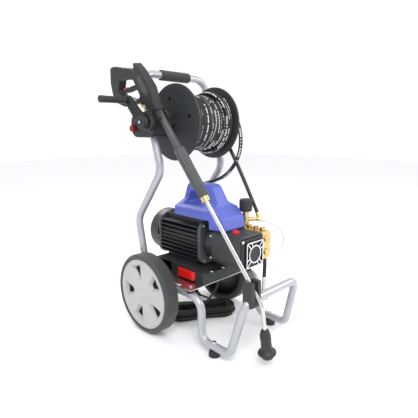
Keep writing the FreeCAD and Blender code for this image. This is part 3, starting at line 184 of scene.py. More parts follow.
def make_materials():
    made = {}
    paint = Nodes("frame_paint", (0.42, 0.43, 0.46), 0.36, 0.45, Coat_Weight=0.3, Coat_Roughness=0.25)
    paint.mottle((0.50, 0.51, 0.54), 12.0, 0.5).gloss(0.28, 0.42, 25.0)
    made["frame_paint"] = paint.grain(380.0, 0.0004, 0.25).grain(1600.0, 0.0001, 0.4)
    zinc = Nodes("zinc", (0.80, 0.80, 0.80), 0.25, 1.0)
    made["zinc"] = zinc.mottle((0.58, 0.57, 0.52), 60.0, 0.5).grain(500, 0.0001)
    foam = Nodes("foam", (0.016, 0.017, 0.018), 0.85, 0.0, Sheen_Weight=0.18, Sheen_Roughness=0.6)
    foam.mottle((0.05, 0.05, 0.052), 160.0, 0.6).grain(900.0, 0.0008, 0.8)
    made["foam"] = foam.grain(260.0, 0.0008, 0.5)
    made["black_rubber"] = plastic("black_rubber", (0.018, 0.018, 0.019), 0.6, 600.0, 0.0003)
    tyre = Nodes("tyre_rubber", (0.040, 0.042, 0.045), 0.62, 0.0, Sheen_Weight=0.08)
    tyre.mottle((0.062, 0.064, 0.068), 14.0, 0.6).gloss(0.52, 0.72, 18.0)
    made["tyre_rubber"] = tyre.grain(420.0, 0.0005, 0.4)
    made["polished_steel"] = brushed("polished_steel", (0.50, 0.49, 0.485), 0.24, (1.0, 60.0, 60.0))
    made["black_plastic"] = plastic("black_plastic", (0.020, 0.021, 0.023), 0.46, 900.0, 0.0002)
    made["red_plastic"] = plastic("red_plastic", (0.62, 0.006, 0.007), 0.30, 500.0, 0.0001)
    made["lock_plastic"] = plastic("lock_plastic", (0.20, 0.008, 0.010), 0.34, 500.0, 0.0001)
    made["pink_plastic"] = plastic("pink_plastic", (0.72, 0.030, 0.060), 0.32, 500.0, 0.0001)
    blue = Nodes("blue_plastic", (0.088, 0.118, 0.48), 0.42, 0.0, Specular_IOR_Level=0.4,
                 Subsurface_Weight=0.05, Subsurface_Scale=0.004)
    blue.mottle((0.105, 0.140, 0.53), 8.0, 0.5).gloss(0.38, 0.5, 20.0)
    made["blue_plastic"] = blue.grain(800.0, 0.0002, 0.4)
    cast = Nodes("black_casting", (0.019, 0.020, 0.023), 0.42, 0.0, Coat_Weight=0.15, Coat_Roughness=0.35)
    cast.mottle((0.034, 0.036, 0.041), 20.0, 0.6).gloss(0.34, 0.5, 40.0)
    made["black_casting"] = cast.grain(300.0, 0.0006, 0.35).grain(1100.0, 0.0002, 0.5)
    shield = Nodes("shield_casting", (0.052, 0.055, 0.062), 0.44, 0.0, Coat_Weight=0.15, Coat_Roughness=0.35)
    shield.mottle((0.080, 0.084, 0.094), 24.0, 0.6).gloss(0.36, 0.52, 40.0)
    made["shield_casting"] = shield.grain(300.0, 0.0006, 0.35).grain(1100.0, 0.0002, 0.5)
    made["bright_casting"] = faced_casting()
    brass = Nodes("brass", (0.70, 0.50, 0.22), 0.30, 1.0)
    brass.mottle((0.86, 0.68, 0.40), 40.0, 0.7).mottle((0.34, 0.22, 0.08), 90.0, 0.35).gloss(0.22, 0.42, 60.0)
    made["brass"] = brass.grain(240.0, 0.0007, 0.5).grain(900.0, 0.0003, 0.5)
    made["steel"] = brushed("steel", (0.56, 0.56, 0.57), 0.28, (60.0, 1.0, 60.0))
    made["core"] = Nodes("core", (0.16, 0.14, 0.12), 0.5, 0.6).grain(500.0, 0.0003)
    reel = Nodes("reel_plastic", (0.026, 0.029, 0.033), 0.45, 0.0, Specular_IOR_Level=0.4)
    reel.mottle((0.042, 0.046, 0.051), 6.0, 0.6).gloss(0.40, 0.55, 15.0)
    made["reel_plastic"] = reel.grain(700.0, 0.0002, 0.4)
    made["clear_tube"] = Nodes("clear_tube", (0.70, 0.71, 0.70), 0.22, 0.0, Transmission_Weight=0.2,
                               IOR=1.40).mottle((0.55, 0.56, 0.55), 30.0, 0.5).grain(300.0, 0.0001, 0.2)
    made["grip_plastic"] = plastic("grip_plastic", (0.060, 0.062, 0.066), 0.42, 900.0, 0.0002)
    made["cable_jacket"] = plastic("cable_jacket", (0.008, 0.008, 0.009), 0.50, 700.0, 0.0002)
    made["stainless"] = brushed("stainless", (0.66, 0.655, 0.65), 0.17, (40.0, 40.0, 2.0))
    made["hose_rubber"] = printed_hose("hose_rubber")
    made["plain_hose"] = plastic("plain_hose", (0.014, 0.014, 0.015), 0.40, 800.0, 0.0002)
    return {key: value.material for key, value in made.items()}


def brushed(name, color, rough, stretch):
    made = Nodes(name, color, rough, 1.0)
    lines = made.coords(stretch)
    made.mottle([c * 0.82 for c in color], 14.0, 0.5, lines)
    made.gloss(rough * 0.7, rough * 1.6, 10.0, lines)
    return made.bump(made.noise(18.0, 5.0, lines), 0.00008, 0.4)


def faced_casting():
    """Black painted casting whose foremost faces are machined bright."""
    made = Nodes("bright_casting", (0.012, 0.012, 0.013), 0.42, 0.0)
    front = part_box("crankcase_cover")[0][1]
    middle = at(-3, 0, 332.5)
    position = made.add("SeparateXYZ")
    made.link(made.add("TexCoord").outputs["Object"], position.inputs[0])
    across = made.math("SUBTRACT", position.outputs["X"], middle.x)
    up = made.math("SUBTRACT", position.outputs["Z"], middle.z)
    squares = made.math("ADD", made.math("MULTIPLY", across, across), made.math("MULTIPLY", up, up))
    radius = made.math("SQRT", squares)
    bright = made.math("MULTIPLY", made.math("LESS_THAN", position.outputs["Y"], front + 0.0012),
                       made.math("GREATER_THAN", radius, 0.0265))
    made.tint(bright, (0.80, 0.80, 0.80))
    made.link(made.math("MULTIPLY", bright, 0.9), made.shader.inputs["Metallic"])
    made.link(made.span(bright, 0.0, 1.0, 0.45, 0.3), made.shader.inputs["Roughness"])
    return made.grain(600.0, 0.0002, 0.4)


def printed_hose(name):
    """Black wrapped rubber with a row of plain white dashes along one side."""
    made = Nodes(name, (0.012, 0.012, 0.013), 0.46, 0.0, Specular_IOR_Level=0.4)
    split = made.add("SeparateXYZ")
    made.link(made.add("TexCoord").outputs["UV"], split.inputs[0])
    along, round_ = split.outputs["X"], split.outputs["Y"]
    cell = made.math("MULTIPLY", along, 190.0)
    steps = made.add("TexWhiteNoise", noise_dimensions="1D")
    made.link(made.math("FLOOR", cell), steps.inputs["W"])
    glyph = made.math("GREATER_THAN", steps.outputs["Value"], 0.14)
    gap = made.math("LESS_THAN", made.math("FRACT", cell), 0.74)
    word = made.math("LESS_THAN", made.math("FRACT", made.math("MULTIPLY", along, 6.3)), 0.80)
    wave = made.add("TexNoise", noise_dimensions="1D", Scale=1.3, Detail=1.0)
    made.link(along, wave.inputs["W"])
    drift = made.math("ADD", made.span(wave.outputs["Fac"], 0.3, 0.7, -0.14, 0.14), 0.36)
    offset = made.math("ABSOLUTE", made.math("SUBTRACT", round_, drift))
    band = made.math("LESS_THAN", offset, 0.052)
    mask = made.math("MULTIPLY", made.math("MULTIPLY", glyph, gap), made.math("MULTIPLY", word, band))
    made.tint(made.math("MULTIPLY", mask, 0.9), (0.80, 0.80, 0.80))
    ribs = made.math("SINE", made.math("MULTIPLY", along, TAU * 420.0))
    return made.bump(ribs, 0.00015, 0.5).grain(700.0, 0.0002, 0.4)


# ---------------------------------------------------------------- mesh helpers
def place(name, mesh, material, body, replaced=(), slot_name=None):
    obj = bpy.data.objects.new(name, mesh)
    SCENE.collection.objects.link(obj)
    mesh.materials.clear()
    mesh.materials.append(material)
    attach(obj, body)
    if replaced:
        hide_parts(*replaced)
    return obj


def mesh_from(name, vertices, faces, smooth=True):
    mesh = bpy.data.meshes.new(name)
    mesh.from_pydata([tuple(v) for v in vertices], [], faces)
    mesh.polygons.foreach_set("use_smooth", [smooth] * len(mesh.polygons))
    mesh.update()
    return mesh


def applied(obj):
    """The object's mesh with its modifiers worked in."""
    graph = bpy.context.evaluated_depsgraph_get()
    mesh = bpy.data.meshes.new_from_object(obj.evaluated_get(graph))
    obj.modifiers.clear()
    obj.data = mesh
    return obj


def copied(node, whole=True):
    """The CAD node's mesh, welded and, where whole is set, with its flat faces in one piece again."""
    mesh = NODES[node].data.copy()
    mesh.name = node
    work = bmesh.new()
    work.from_mesh(mesh)
    bmesh.ops.remove_doubles(work, verts=work.verts, dist=4e-6)
    if whole:
        bmesh.ops.dissolve_limit(work, angle_limit=math.radians(0.6), verts=work.verts, edges=work.edges)
    for face in work.faces:
        face.smooth = True
    work.to_mesh(mesh)
    work.free()
    for name in ("custom_normal", "sharp_edge", "sharp_face"):
        if name in mesh.attributes:
            mesh.attributes.remove(mesh.attributes[name])
    return mesh


def edged(node, material, width):
    """A CAD node with its edges broken."""
    obj = place(node + "_skin", copied(node), material, body_of(node), [node], SLOTS[node])
    bevel = obj.modifiers.new("edges", "BEVEL")
    bevel.width = width
    bevel.segments = 2
    bevel.limit_method = "ANGLE"
    bevel.angle_limit = math.radians(32)
    bevel.harden_normals = True
    return applied(obj)


def softened(node, material, voxel, passes):
    """A CAD node with every edge rounded, as a moulded or cast piece is."""
    obj = place(node + "_skin", copied(node, False), material, body_of(node), [node], SLOTS[node])
    remesh = obj.modifiers.new("voxels", "REMESH")
    remesh.mode = "VOXEL"
    remesh.voxel_size = voxel
    remesh.use_smooth_shade = True
    smooth = obj.modifiers.new("round", "SMOOTH")
    smooth.factor = 0.5
    smooth.iterations = passes
    return applied(obj)


def lathe(name, profile, centre, axis, material, body, steps=96, **extra):
    """Turns (radius, along) pairs round an axis; the profile is closed."""
    turn = Vector((0, 0, 1)).rotation_difference(Vector(axis)).to_matrix()
    vertices, faces, count = [], [], len(profile)
    for i in range(steps):
        angle = TAU * i / steps
        for radius, along in profile:
            spot = Vector((radius * math.cos(angle), radius * math.sin(angle), along))
            vertices.append(centre + turn @ spot)
    for i in range(steps):
        for j in range(count):
            a, b = i * count, ((i + 1) % steps) * count
            k = (j + 1) % count
            faces.append((a + j, b + j, b + k, a + k))
    return place(name, mesh_from(name, vertices, faces), material, body, **extra)


def rounded(points, radii, steps=5):
    """A closed outline of (x, y) pairs with each corner drawn as an arc."""
    outline, count = [], len(points)
    for i, (corner, radius) in enumerate(zip(points, radii)):
        here = Vector(corner)
        before, after = Vector(points[i - 1]) - here, Vector(points[(i + 1) % count]) - here
        if radius <= 0:
            outline.append(tuple(here))
            continue
        half = before.angle(after) / 2
        reach = min(radius / math.tan(half), before.length * 0.49, after.length * 0.49)
        start, end = here + before.normalized() * reach, here + after.normalized() * reach
        for k in range(steps + 1):
            t = k / steps
            outline.append(tuple(start * (1 - t) ** 2 + here * 2 * t * (1 - t) + end * t ** 2))
    return outline


def route_line(points, resolution=8):
    """Points along the smooth NURBS line of a route."""
    curve = bpy.data.curves.new("route", "CURVE")
    curve.dimensions = "3D"
    curve.resolution_u = resolution
    spline = curve.splines.new("NURBS")
    spline.points.add(len(points) - 1)
    for point, spot in zip(spline.points, points):
        point.co = (*spot, 1)
    spline.order_u = 3
    spline.use_endpoint_u = True
    obj = bpy.data.objects.new("route", curve)
    SCENE.collection.objects.link(obj)
    graph = bpy.context.evaluated_depsgraph_get()
    mesh = bpy.data.meshes.new_from_object(obj.evaluated_get(graph))
    line = [v.co.copy() for v in mesh.vertices]
    bpy.data.objects.remove(obj)
    bpy.data.curves.remove(curve)
    bpy.data.meshes.remove(mesh)
    return line


def tube(name, line, radius, material, body, start_up=(0, 0, 1), sides=16, **extra):
    """A round tube along a line, with UVs: length in metres, and the way round."""
    vertices, faces, uvs = [], [], []
    last = len(line) - 1
    tangents = [(line[min(i + 1, last)] - line[max(i - 1, 0)]).normalized() for i in range(last + 1)]
    up = Vector(start_up)
    up = (up - tangents[0] * up.dot(tangents[0])).normalized()
    length, lengths = 0.0, []
    for i, (spot, tangent) in enumerate(zip(line, tangents)):
        up = (up - tangent * up.dot(tangent)).normalized()
        side = tangent.cross(up)
        length += (spot - line[i - 1]).length if i else 0.0
        lengths.append(length)
        for k in range(sides):
            angle = TAU * k / sides
            vertices.append(spot + (up * math.cos(angle) + side * math.sin(angle)) * radius)
    for i in range(last):
        for k in range(sides):
            a, b, n = i * sides, (i + 1) * sides, (k + 1) % sides
            faces.append((a + k, a + n, b + n, b + k))
            v0, v1 = k / sides, (k + 1) / sides
            uvs += [(lengths[i], v0), (lengths[i], v1), (lengths[i + 1], v1), (lengths[i + 1], v0)]
    faces.append(tuple(reversed(range(sides))))
    faces.append(tuple(range(last * sides, (last + 1) * sides)))
    uvs += [(0.0, 0.0)] * (2 * sides)
    mesh = mesh_from(name, vertices, faces)
    layer = mesh.uv_layers.new(name="UVMap")
    for loop, uv in zip(layer.data, uvs):
        loop.uv = uv
    obj = place(name, mesh, material, body, **extra)
    return obj, length


MAT = make_materials()


# ---------------------------------------------------------------- CAD nodes that keep their own shape
OWN_FINISH = {"end_shields": "shield_casting", "reel_lock": "lock_plastic"}


def finish_of(node):
    return MAT[OWN_FINISH.get(node, SLOTS[node])]


for node in ("stator", "rotor", "motor_bearings", "cooling_fan", "crankshaft", "plungers", "reel_drum"):
    NODES[node].data.materials.clear()
    NODES[node].data.materials.append(finish_of(node))

EDGES = {
    "lower_frame": 0.0010, "handle_frame": 0.0008, "frame_fasteners": 0.0007, "rubber_mounts": 0.0020,
    "axle": 0.0010, "base_plate": 0.0007, "switch_box": 0.0025, "power_switch": 0.0022,
    "cable_gland": 0.0012, "motor_bracket": 0.0012, "motor_housing": 0.0008, "end_shields": 0.0025,
    "fan_cover": 0.0020, "casing_bolts": 0.0008, "crankcase_cover": 0.0006, "oil_cap": 0.0015,
    "valve_caps": 0.0012, "unloader_body": 0.0010, "reel_discs": 0.0012, "reel_swivel": 0.0012,
    "hub_elbow": 0.0010, "reel_lock": 0.0015, "crank_arm": 0.0030, "inlet_coupling": 0.0012,
    "hose_coupling": 0.0010, "trigger": 0.0012, "trigger_latch": 0.0004, "lance_pipe": 0.0004,
    "brass_fittings": 0.0012, "holders": 0.0030}
for node, width in EDGES.items():
    edged(node, finish_of(node), width)

softened("top_cover", MAT["blue_plastic"], 0.0016, 12)
softened("crankcase", MAT["black_casting"], 0.0020, 6)
softened("pump_head", MAT["brass"], 0.0013, 5)
softened("outlet_elbow", MAT["brass"], 0.0010, 4)
softened("gun_body", MAT["black_plastic"], 0.0013, 10)
softened("reel_brackets", MAT["black_plastic"], 0.0020, 8)
softened("mains_plug", MAT["black_plastic"], 0.0010, 3)


# ---------------------------------------------------------------- wheels
TREAD = rounded([(0.1322, -0.0285), (0.1415, -0.0300), (0.1500, -0.0215), (0.1500, 0.0215), (0.1415, 0.0300),
                 (0.1322, 0.0285)], [0.001, 0.006, 0.009, 0.009, 0.006, 0.001], 6)
# rings of a rim: each is a radius and a depth behind the outer face
BARREL_RINGS = ((0.1255, 0.0540), (0.1318, 0.0540), (0.1320, 0.0030), (0.1305, 0.0006), (0.1285, 0.0),
                (0.1262, 0.0), (0.1250, 0.0014))
HUB_RINGS = ((0.0330, 0.0014), (0.0318, -0.0006), (0.0300, -0.0012), (0.0240, -0.0014), (0.0232, 0.0002),
             (0.0200, 0.0004), (0.0188, -0.0010), (0.0100, -0.0022))
SLEEVE_RINGS = ((0.0300, 0.0540), (0.0105, 0.0540), (0.0105, 0.0240))
# steps into a window: radii where it starts and ends, half widths there, depth and corner radius
WINDOW_STEPS = ((0.050, 0.113, 0.013, 0.033, 0.0014, 0.009), (0.0525, 0.1105, 0.0115, 0.0308, 0.0030, 0.008),
                (0.063, 0.104, 0.0075, 0.0235, 0.0155, 0.005), (0.063, 0.104, 0.0075, 0.0235, 0.0220, 0.005))
WINDOWS, WINDOW_TURN = 5, math.radians(70)
RIM_FACE_AT, RIM_BACK, HUB_TIP = 0.0270, 0.0220, -0.0024
# profile of the near-black disc behind the windows, painted shade for the hollow inside the rim
SHADE_WEB = [(0.0305, 0.0010), (0.1250, 0.0010), (0.1250, 0.0045), (0.0305, 0.0045)]


def tyre(side, sign):
    lathe("tyre_" + side + "_tread", TREAD, at(sign * WHEEL_X, 0, AXLE_Z), (sign, 0, 0), MAT["tyre_rubber"],
          "wheel_" + side, 160, replaced=["tyre_" + side], slot_name="tyre_rubber")


def rim_face(side, sign):
    """The rim: barrel, dished face with its windows, hub cap and the sleeve on the axle."""
    hub = at(sign * WHEEL_X, 0, AXLE_Z)
    rim = bmesh.new()

    def spot(u, w, depth):
        return rim.verts.new(hub + Vector((sign * (RIM_FACE_AT - depth), u, w)))

    def circle(radius, depth, steps=120):
        return [spot(radius * math.cos(TAU * i / steps), radius * math.sin(TAU * i / steps), depth)
                for i in range(steps)]

    def strip(first, second):
        count = len(first)
        for i in range(count):
            k = (i + 1) % count
            rim.faces.new((first[i], first[k], second[k], second[i]))

    def edges_of(loop):
        pairs = zip(loop, loop[1:] + loop[:1])
        return [rim.edges.get(pair) or rim.edges.new(pair) for pair in pairs]

    def window(index, low, high, half_low, half_high, depth, corner):
        angle = TAU * index / WINDOWS + WINDOW_TURN
        cos, sin = math.cos(angle), math.sin(angle)
        corners = [(low, -half_low), (high, -half_high), (high, half_high), (low, half_low)]
        return [spot(u * cos - w * sin, u * sin + w * cos, depth)
                for u, w in rounded(corners, [corner] * 4, 5)]

    rings = [circle(*ring) for ring in BARREL_RINGS]
    for first, second in zip(rings, rings[1:]):
        strip(first, second)
    hub_rings = [circle(*ring) for ring in HUB_RINGS]
    for first, second in zip(hub_rings, hub_rings[1:]):
        strip(first, second)
    tip = spot(0, 0, HUB_TIP)
    for i, vertex in enumerate(hub_rings[-1]):
        rim.faces.new((vertex, hub_rings[-1][(i + 1) % len(hub_rings[-1])], tip))
    front, back = edges_of(rings[-1]) + edges_of(hub_rings[0]), []
    back_outer, back_inner = circle(BARREL_RINGS[0][0], RIM_BACK), circle(SLEEVE_RINGS[0][0], RIM_BACK)
    strip(back_outer, rings[0])
    for index in range(WINDOWS):
        steps = [window(index, *step) for step in WINDOW_STEPS]
        for first, second in zip(steps, steps[1:]):
            strip(first, second)
        front += edges_of(steps[0])
        back += edges_of(steps[-1])
    bmesh.ops.triangle_fill(rim, use_beauty=True, edges=front)
    bmesh.ops.triangle_fill(rim, use_beauty=True, edges=back + edges_of(back_outer) + edges_of(back_inner))
    sleeve = [circle(*ring) for ring in SLEEVE_RINGS]
    strip(back_inner, sleeve[0])
    strip(sleeve[0], sleeve[1])
    strip(sleeve[1], sleeve[2])
    bmesh.ops.recalc_face_normals(rim, faces=rim.faces)
    for face in rim.faces:
        face.smooth = True
    for edge in rim.edges:
        if len(edge.link_faces) == 2 and edge.calc_face_angle(0.0) > math.radians(24):
            edge.smooth = False
    mesh = bpy.data.meshes.new("rim_" + side)
    rim.to_mesh(mesh)
    rim.free()
    place("rim_" + side + "_face", mesh, MAT["rim_" + side], "wheel_" + side, ["rim_" + side], "rim_plastic")


def rim_shade_web(side, sign):
    """A near-black disc behind the rim's windows, painted shade that makes them read as dark holes."""
    # painted shade: a black plastic disc closes the windows, standing in for the shadow inside the rim
    lathe("rim_shade_web_" + side, SHADE_WEB, at(sign * WHEEL_X, 0, AXLE_Z), (sign, 0, 0), MAT["black_plastic"],
          "wheel_" + side, slot_name="black_plastic")


def rim_material_painted_shade(side, sign):
    """Light plastic outside, painted near black on the side that faces the machine, as painted shade where it
    lies in shadow.
    """
    made = plastic("rim_plastic_" + side, (0.43, 0.435, 0.44), 0.44, 700.0, 0.0002)
    position = made.add("SeparateXYZ")
    made.link(made.add("TexCoord").outputs["Object"], position.inputs[0])
    inward = made.math("SUBTRACT", position.outputs["X"], at(sign * RIM_EDGE_X, 0, 0).x)
    away = made.math("MULTIPLY", inward, -sign)
    # painted shade: everything more than about 2 mm in from the rim's edge towards the machine is tinted near
    # black
    made.tint(made.span(away, 0.0, 0.002), (0.022, 0.022, 0.023))
    return made.material


for side, sign in (("left", -1), ("right", 1)):
    MAT["rim_" + side] = rim_material_painted_shade(side, sign)
    tyre(side, sign)
    rim_face(side, sign)
    rim_shade_web(side, sign)


# ---------------------------------------------------------------- grips and knobs
def fluted(name, stations, centre, axis, material, body, ribs, steps=144, up=(0, 0, 1), **extra):
    """Like a lathe, with ribs along it: each station is (radius, along, rib height)."""
    axis = Vector(axis).normalized()
    up = (Vector(up) - axis * axis.dot(Vector(up))).normalized()
    side = axis.cross(up)
    vertices, faces = [], []
    for radius, along, height in stations:
        for i in range(steps):
            angle = TAU * i / steps
            wave = max(0.0, math.cos(ribs * angle)) ** 0.6
            reach = radius - height * (1 - wave)
            vertices.append(centre + axis * along + (up * math.cos(angle) + side * math.sin(angle)) * reach)
    for j in range(len(stations) - 1):
        for i in range(steps):
            k = (i + 1) % steps
            faces.append((j * steps + i, j * steps + k, (j + 1) * steps + k, (j + 1) * steps + i))
    faces.append(tuple(reversed(range(steps))))
    last = (len(stations) - 1) * steps
    faces.append(tuple(range(last, last + steps)))
    return place(name, mesh_from(name, vertices, faces), material, body, **extra)


low, high = (Vector(c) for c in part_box("foam_grip"))
middle, half = (low + high) / 2, (high - low).x / 2
grip = rounded([(0.0141, -half), (0.0190, -half), (0.0190, half), (0.0141, half)], [0, 0.0035, 0.0035, 0], 6)
dense = []    # the same outline with points every 3 mm, so that the foam's surface can be roughened
for (r0, a0), (r1, a1) in zip(grip, grip[1:] + grip[:1]):
    pieces = max(1, int(abs(a1 - a0) / 0.003))
    dense += [(r0 + (r1 - r0) * k / pieces, a0 + (a1 - a0) * k / pieces) for k in range(pieces)]
foam = lathe("foam_sleeve", dense, middle, (1, 0, 0), MAT["foam"], "chassis", 72, replaced=["foam_grip"],
             slot_name="foam")
for vertex in foam.data.vertices:
    away = Vector((0, vertex.co.y - middle.y, vertex.co.z - middle.z))
    vertex.co += away.normalized() * noise.noise(vertex.co * 90) * 0.0003

# knob of the unloader valve: eighteen soft flutes and a domed top
low, high = (Vector(c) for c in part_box("unloader_knob"))
centre = Vector(((low.x + high.x) / 2, (low.y + high.y) / 2, low.z))
radius, tall = (high.x - low.x) / 2, high.z - low.z
fluted("unloader_handwheel", [
    (radius * 0.78, 0.0, 0.0), (radius * 0.92, 0.0010, 0.0), (radius * 0.97, 0.0040, 0.0006),
    (radius, 0.0080, 0.0012), (radius, tall - 0.0090, 0.0014), (radius * 0.985, tall - 0.0050, 0.0010),
    (radius * 0.93, tall - 0.0018, 0.0004), (radius * 0.84, tall - 0.0003, 0.0), (radius * 0.60, tall, 0.0)],
    centre, (0, 0, 1), MAT["black_plastic"], "unloader", 18, up=(1, 0, 0),
    replaced=["unloader_knob"], slot_name="black_plastic")

low, high = (Vector(c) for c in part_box("crank_grip"))
centre = Vector((high.x, (low.y + high.y) / 2, (low.z + high.z) / 2))
radius, tall = (high.z - low.z) / 2, high.x - low.x
grip = [(0.0052, 0.0), (radius * 0.88, 0.0), (radius, 0.0015), (radius, 0.008), (radius * 0.93, 0.011),
        (radius * 0.93, tall * 0.5), (radius * 0.96, tall - 0.014), (radius, tall - 0.010),
        (radius, tall - 0.004), (radius * 0.9, tall - 0.0012), (radius * 0.6, tall), (0.0001, tall),
        (0.0001, tall - 0.007), (0.0052, tall - 0.0075)]
lathe("crank_handle_grip", grip, centre, (-1, 0, 0), MAT["black_plastic"], "crank_handle", 72,
      replaced=["crank_grip"], slot_name="black_plastic")

# ---------------------------------------------------------------- lance
LANCE_TOP, LANCE_BEND = at(-205, 32, 962), at(-102, -455, 209)
WAY = (LANCE_BEND - LANCE_TOP).normalized()
REAR = (Vector((0, 1, 0)) - WAY * WAY.y).normalized()
SIDE = WAY.cross(REAR)
ZERO = LANCE_TOP + WAY * ((at(0, 0, REEL_Z).z - LANCE_TOP.z) / WAY.z)
TIP_TURN = math.radians(30)
TIP = WAY * math.cos(TIP_TURN) + REAR * math.sin(TIP_TURN)
fluted("lance_handle", [
    (0.0120, -0.044, 0.0), (0.0120, 0.000, 0.0), (0.0123, 0.040, 0.0), (0.0125, 0.096, 0.0),
    (0.0150, 0.101, 0.0), (0.0188, 0.104, 0.0), (0.0198, 0.107, 0.0), (0.0200, 0.112, 0.0010),
    (0.0198, 0.140, 0.0016), (0.0190, 0.180, 0.0018), (0.0194, 0.225, 0.0018), (0.0199, 0.246, 0.0010),
    (0.0196, 0.252, 0.0), (0.0168, 0.254, 0.0), (0.0162, 0.256, 0.0), (0.0168, 0.259, 0.0014),
    (0.0170, 0.264, 0.0022), (0.0170, 0.278, 0.0022), (0.0164, 0.283, 0.0010), (0.0140, 0.284, 0.0)],
    ZERO, WAY, MAT["grip_plastic"], "lance", 12, up=REAR, replaced=["lance_grip"], slot_name="black_plastic")

cup = rounded([(0.0068, 0.082), (0.0125, 0.082), (0.0160, 0.094), (0.0178, 0.100), (0.0178, 0.118),
               (0.0168, 0.121), (0.0168, 0.127), (0.0176, 0.130), (0.0174, 0.152), (0.0292, 0.1605),
               (0.0302, 0.1630), (0.0300, 0.1670), (0.0225, 0.1700), (0.0185, 0.182), (0.0150, 0.182),
               (0.0100, 0.166), (0.0002, 0.166), (0.0002, 0.114), (0.0068, 0.114)],
              [0, 0.003, 0.005, 0.003, 0.001, 0.001, 0.001, 0.002, 0.004, 0.001, 0.001, 0.002, 0.002, 0.001,
               0.001, 0, 0, 0, 0], 4)
lathe("nozzle_cup", cup, LANCE_BEND, TIP, MAT["black_plastic"], "nozzle", 96, replaced=["nozzle_holder"],
      slot_name="black_plastic")


def raised_panel(name, outline, origin, across, along, out, thick, material, body, inset=0.0012,
                 slot_name=None):
    """A thin pad on a flat face, with its rim sloped."""
    vertices, faces, count = [], [], len(outline)
    middle = Vector((sum(u for u, _ in outline) / count, sum(v for _, v in outline) / count))
    for height, pull in ((-0.0006, 0.0), (thick * 0.5, 0.0), (thick, inset)):
        for u, v in outline:
            away = Vector((u, v)) - middle
            u, v = middle + away * (1 - pull / away.length)
            vertices.append(origin + across * u + along * v + out * height)
    for ring in range(2):
        for i in range(count):
            k = (i + 1) % count
            faces.append((ring * count + i, ring * count + k, (ring + 1) * count + k, (ring + 1) * count + i))
    faces.append(tuple(range(2 * count, 3 * count)))
    faces.append(tuple(reversed(range(count))))
    mesh = mesh_from(name, vertices, faces, False)
    work = bmesh.new()
    work.from_mesh(mesh)
    bmesh.ops.recalc_face_normals(work, faces=work.faces)
    work.to_mesh(mesh)
    work.free()
    return place(name, mesh, material, body, slot_name=slot_name)


PANEL = rounded([(-0.182, -0.008), (-0.172, -0.015), (-0.110, -0.011), (-0.106, 0.0), (-0.122, 0.009),
                 (-0.160, 0.008), (-0.176, 0.005)], [0.002, 0.003, 0.003, 0.002, 0.003, 0.002, 0.002], 4)
GUN_HALF, SCREW_SINK = 0.016, 0.0005
GUN_SCREWS = ((-0.205, 0.004), (-0.092, 0.010), (-0.215, 0.148), (-0.282, 0.112))
SCREW = [(0.0, 0.0), (0.0034, 0.0), (0.0034, 0.0008), (0.0026, 0.0013), (0.0012, 0.0013), (0.0010, 0.0005),
         (0.0, 0.0005)]
for side, sign in (("left", -1), ("right", 1)):
    raised_panel("gun_panel_" + side, PANEL, ZERO + SIDE * sign * GUN_HALF, WAY, REAR, SIDE * sign, 0.0012,
                 MAT["grip_plastic"], "lance", slot_name="black_plastic")
    for k, (down, rear) in enumerate(GUN_SCREWS):
        spot = ZERO + WAY * down + REAR * rear + SIDE * sign * (GUN_HALF - SCREW_SINK)
        lathe(f"gun_screw_{side}_{k}", SCREW, spot, SIDE * sign, MAT["grip_plastic"], "lance", 24,
              slot_name="black_plastic")

# ribs, pivot cap and bolt on the outer face of the crank arm
CRANK_X, CRANK_DY, CRANK_DZ = -243, 78, 73
PIVOT = at(CRANK_X, REEL_Y, REEL_Z)
run = at(CRANK_X, REEL_Y + CRANK_DY, REEL_Z + CRANK_DZ) - PIVOT
run.normalize()
cross = Vector((-1, 0, 0)).cross(run)
RIB_START, RIB_STEP, RIB_HALF, RIB_LEAN, RIB_HEIGHT = 0.029, 0.0115, 0.0015, 0.007, 0.0026
for k in range(6):
    start = RIB_START + RIB_STEP * k
    side_reach = 0.0182 - 0.056 * start
    rib = [(start - RIB_HALF, -side_reach), (start + RIB_HALF, -side_reach),
           (start + RIB_LEAN + RIB_HALF, side_reach), (start + RIB_LEAN - RIB_HALF, side_reach)]
    raised_panel(f"crank_rib_{k}", rib, PIVOT, run, cross, Vector((-1, 0, 0)), RIB_HEIGHT,
                 MAT["black_plastic"], "reel", 0.0004, slot_name="black_plastic")
PIVOT_CAP = [(0.0, 0.0), (0.0215, 0.0), (0.0215, 0.0030), (0.0195, 0.0044), (0.0150, 0.0044),
             (0.0140, 0.0028), (0.0095, 0.0028), (0.0085, 0.0062), (0.0060, 0.0070), (0.0, 0.0070)]
PIVOT_BOLT = [(0.0, 0.0060), (0.0052, 0.0060), (0.0052, 0.0086), (0.0042, 0.0098), (0.0, 0.0098)]
lathe("crank_pivot_cap", PIVOT_CAP, PIVOT, (-1, 0, 0), MAT["black_plastic"], "reel", 72,
      slot_name="black_plastic")
lathe("crank_pivot_bolt", PIVOT_BOLT, PIVOT, (-1, 0, 0), MAT["zinc"], "reel", 6, slot_name="zinc")


# ---------------------------------------------------------------- hose on the reel
REEL = at(0, REEL_Y, REEL_Z)
# radii in metres: the hose, the drum, the full winding and the last wraps
HOSE, DRUM_R, WOUND_R, TOP_R = 0.00725, 0.057, 0.1010, 0.1150
WRAP_STEPS = 48


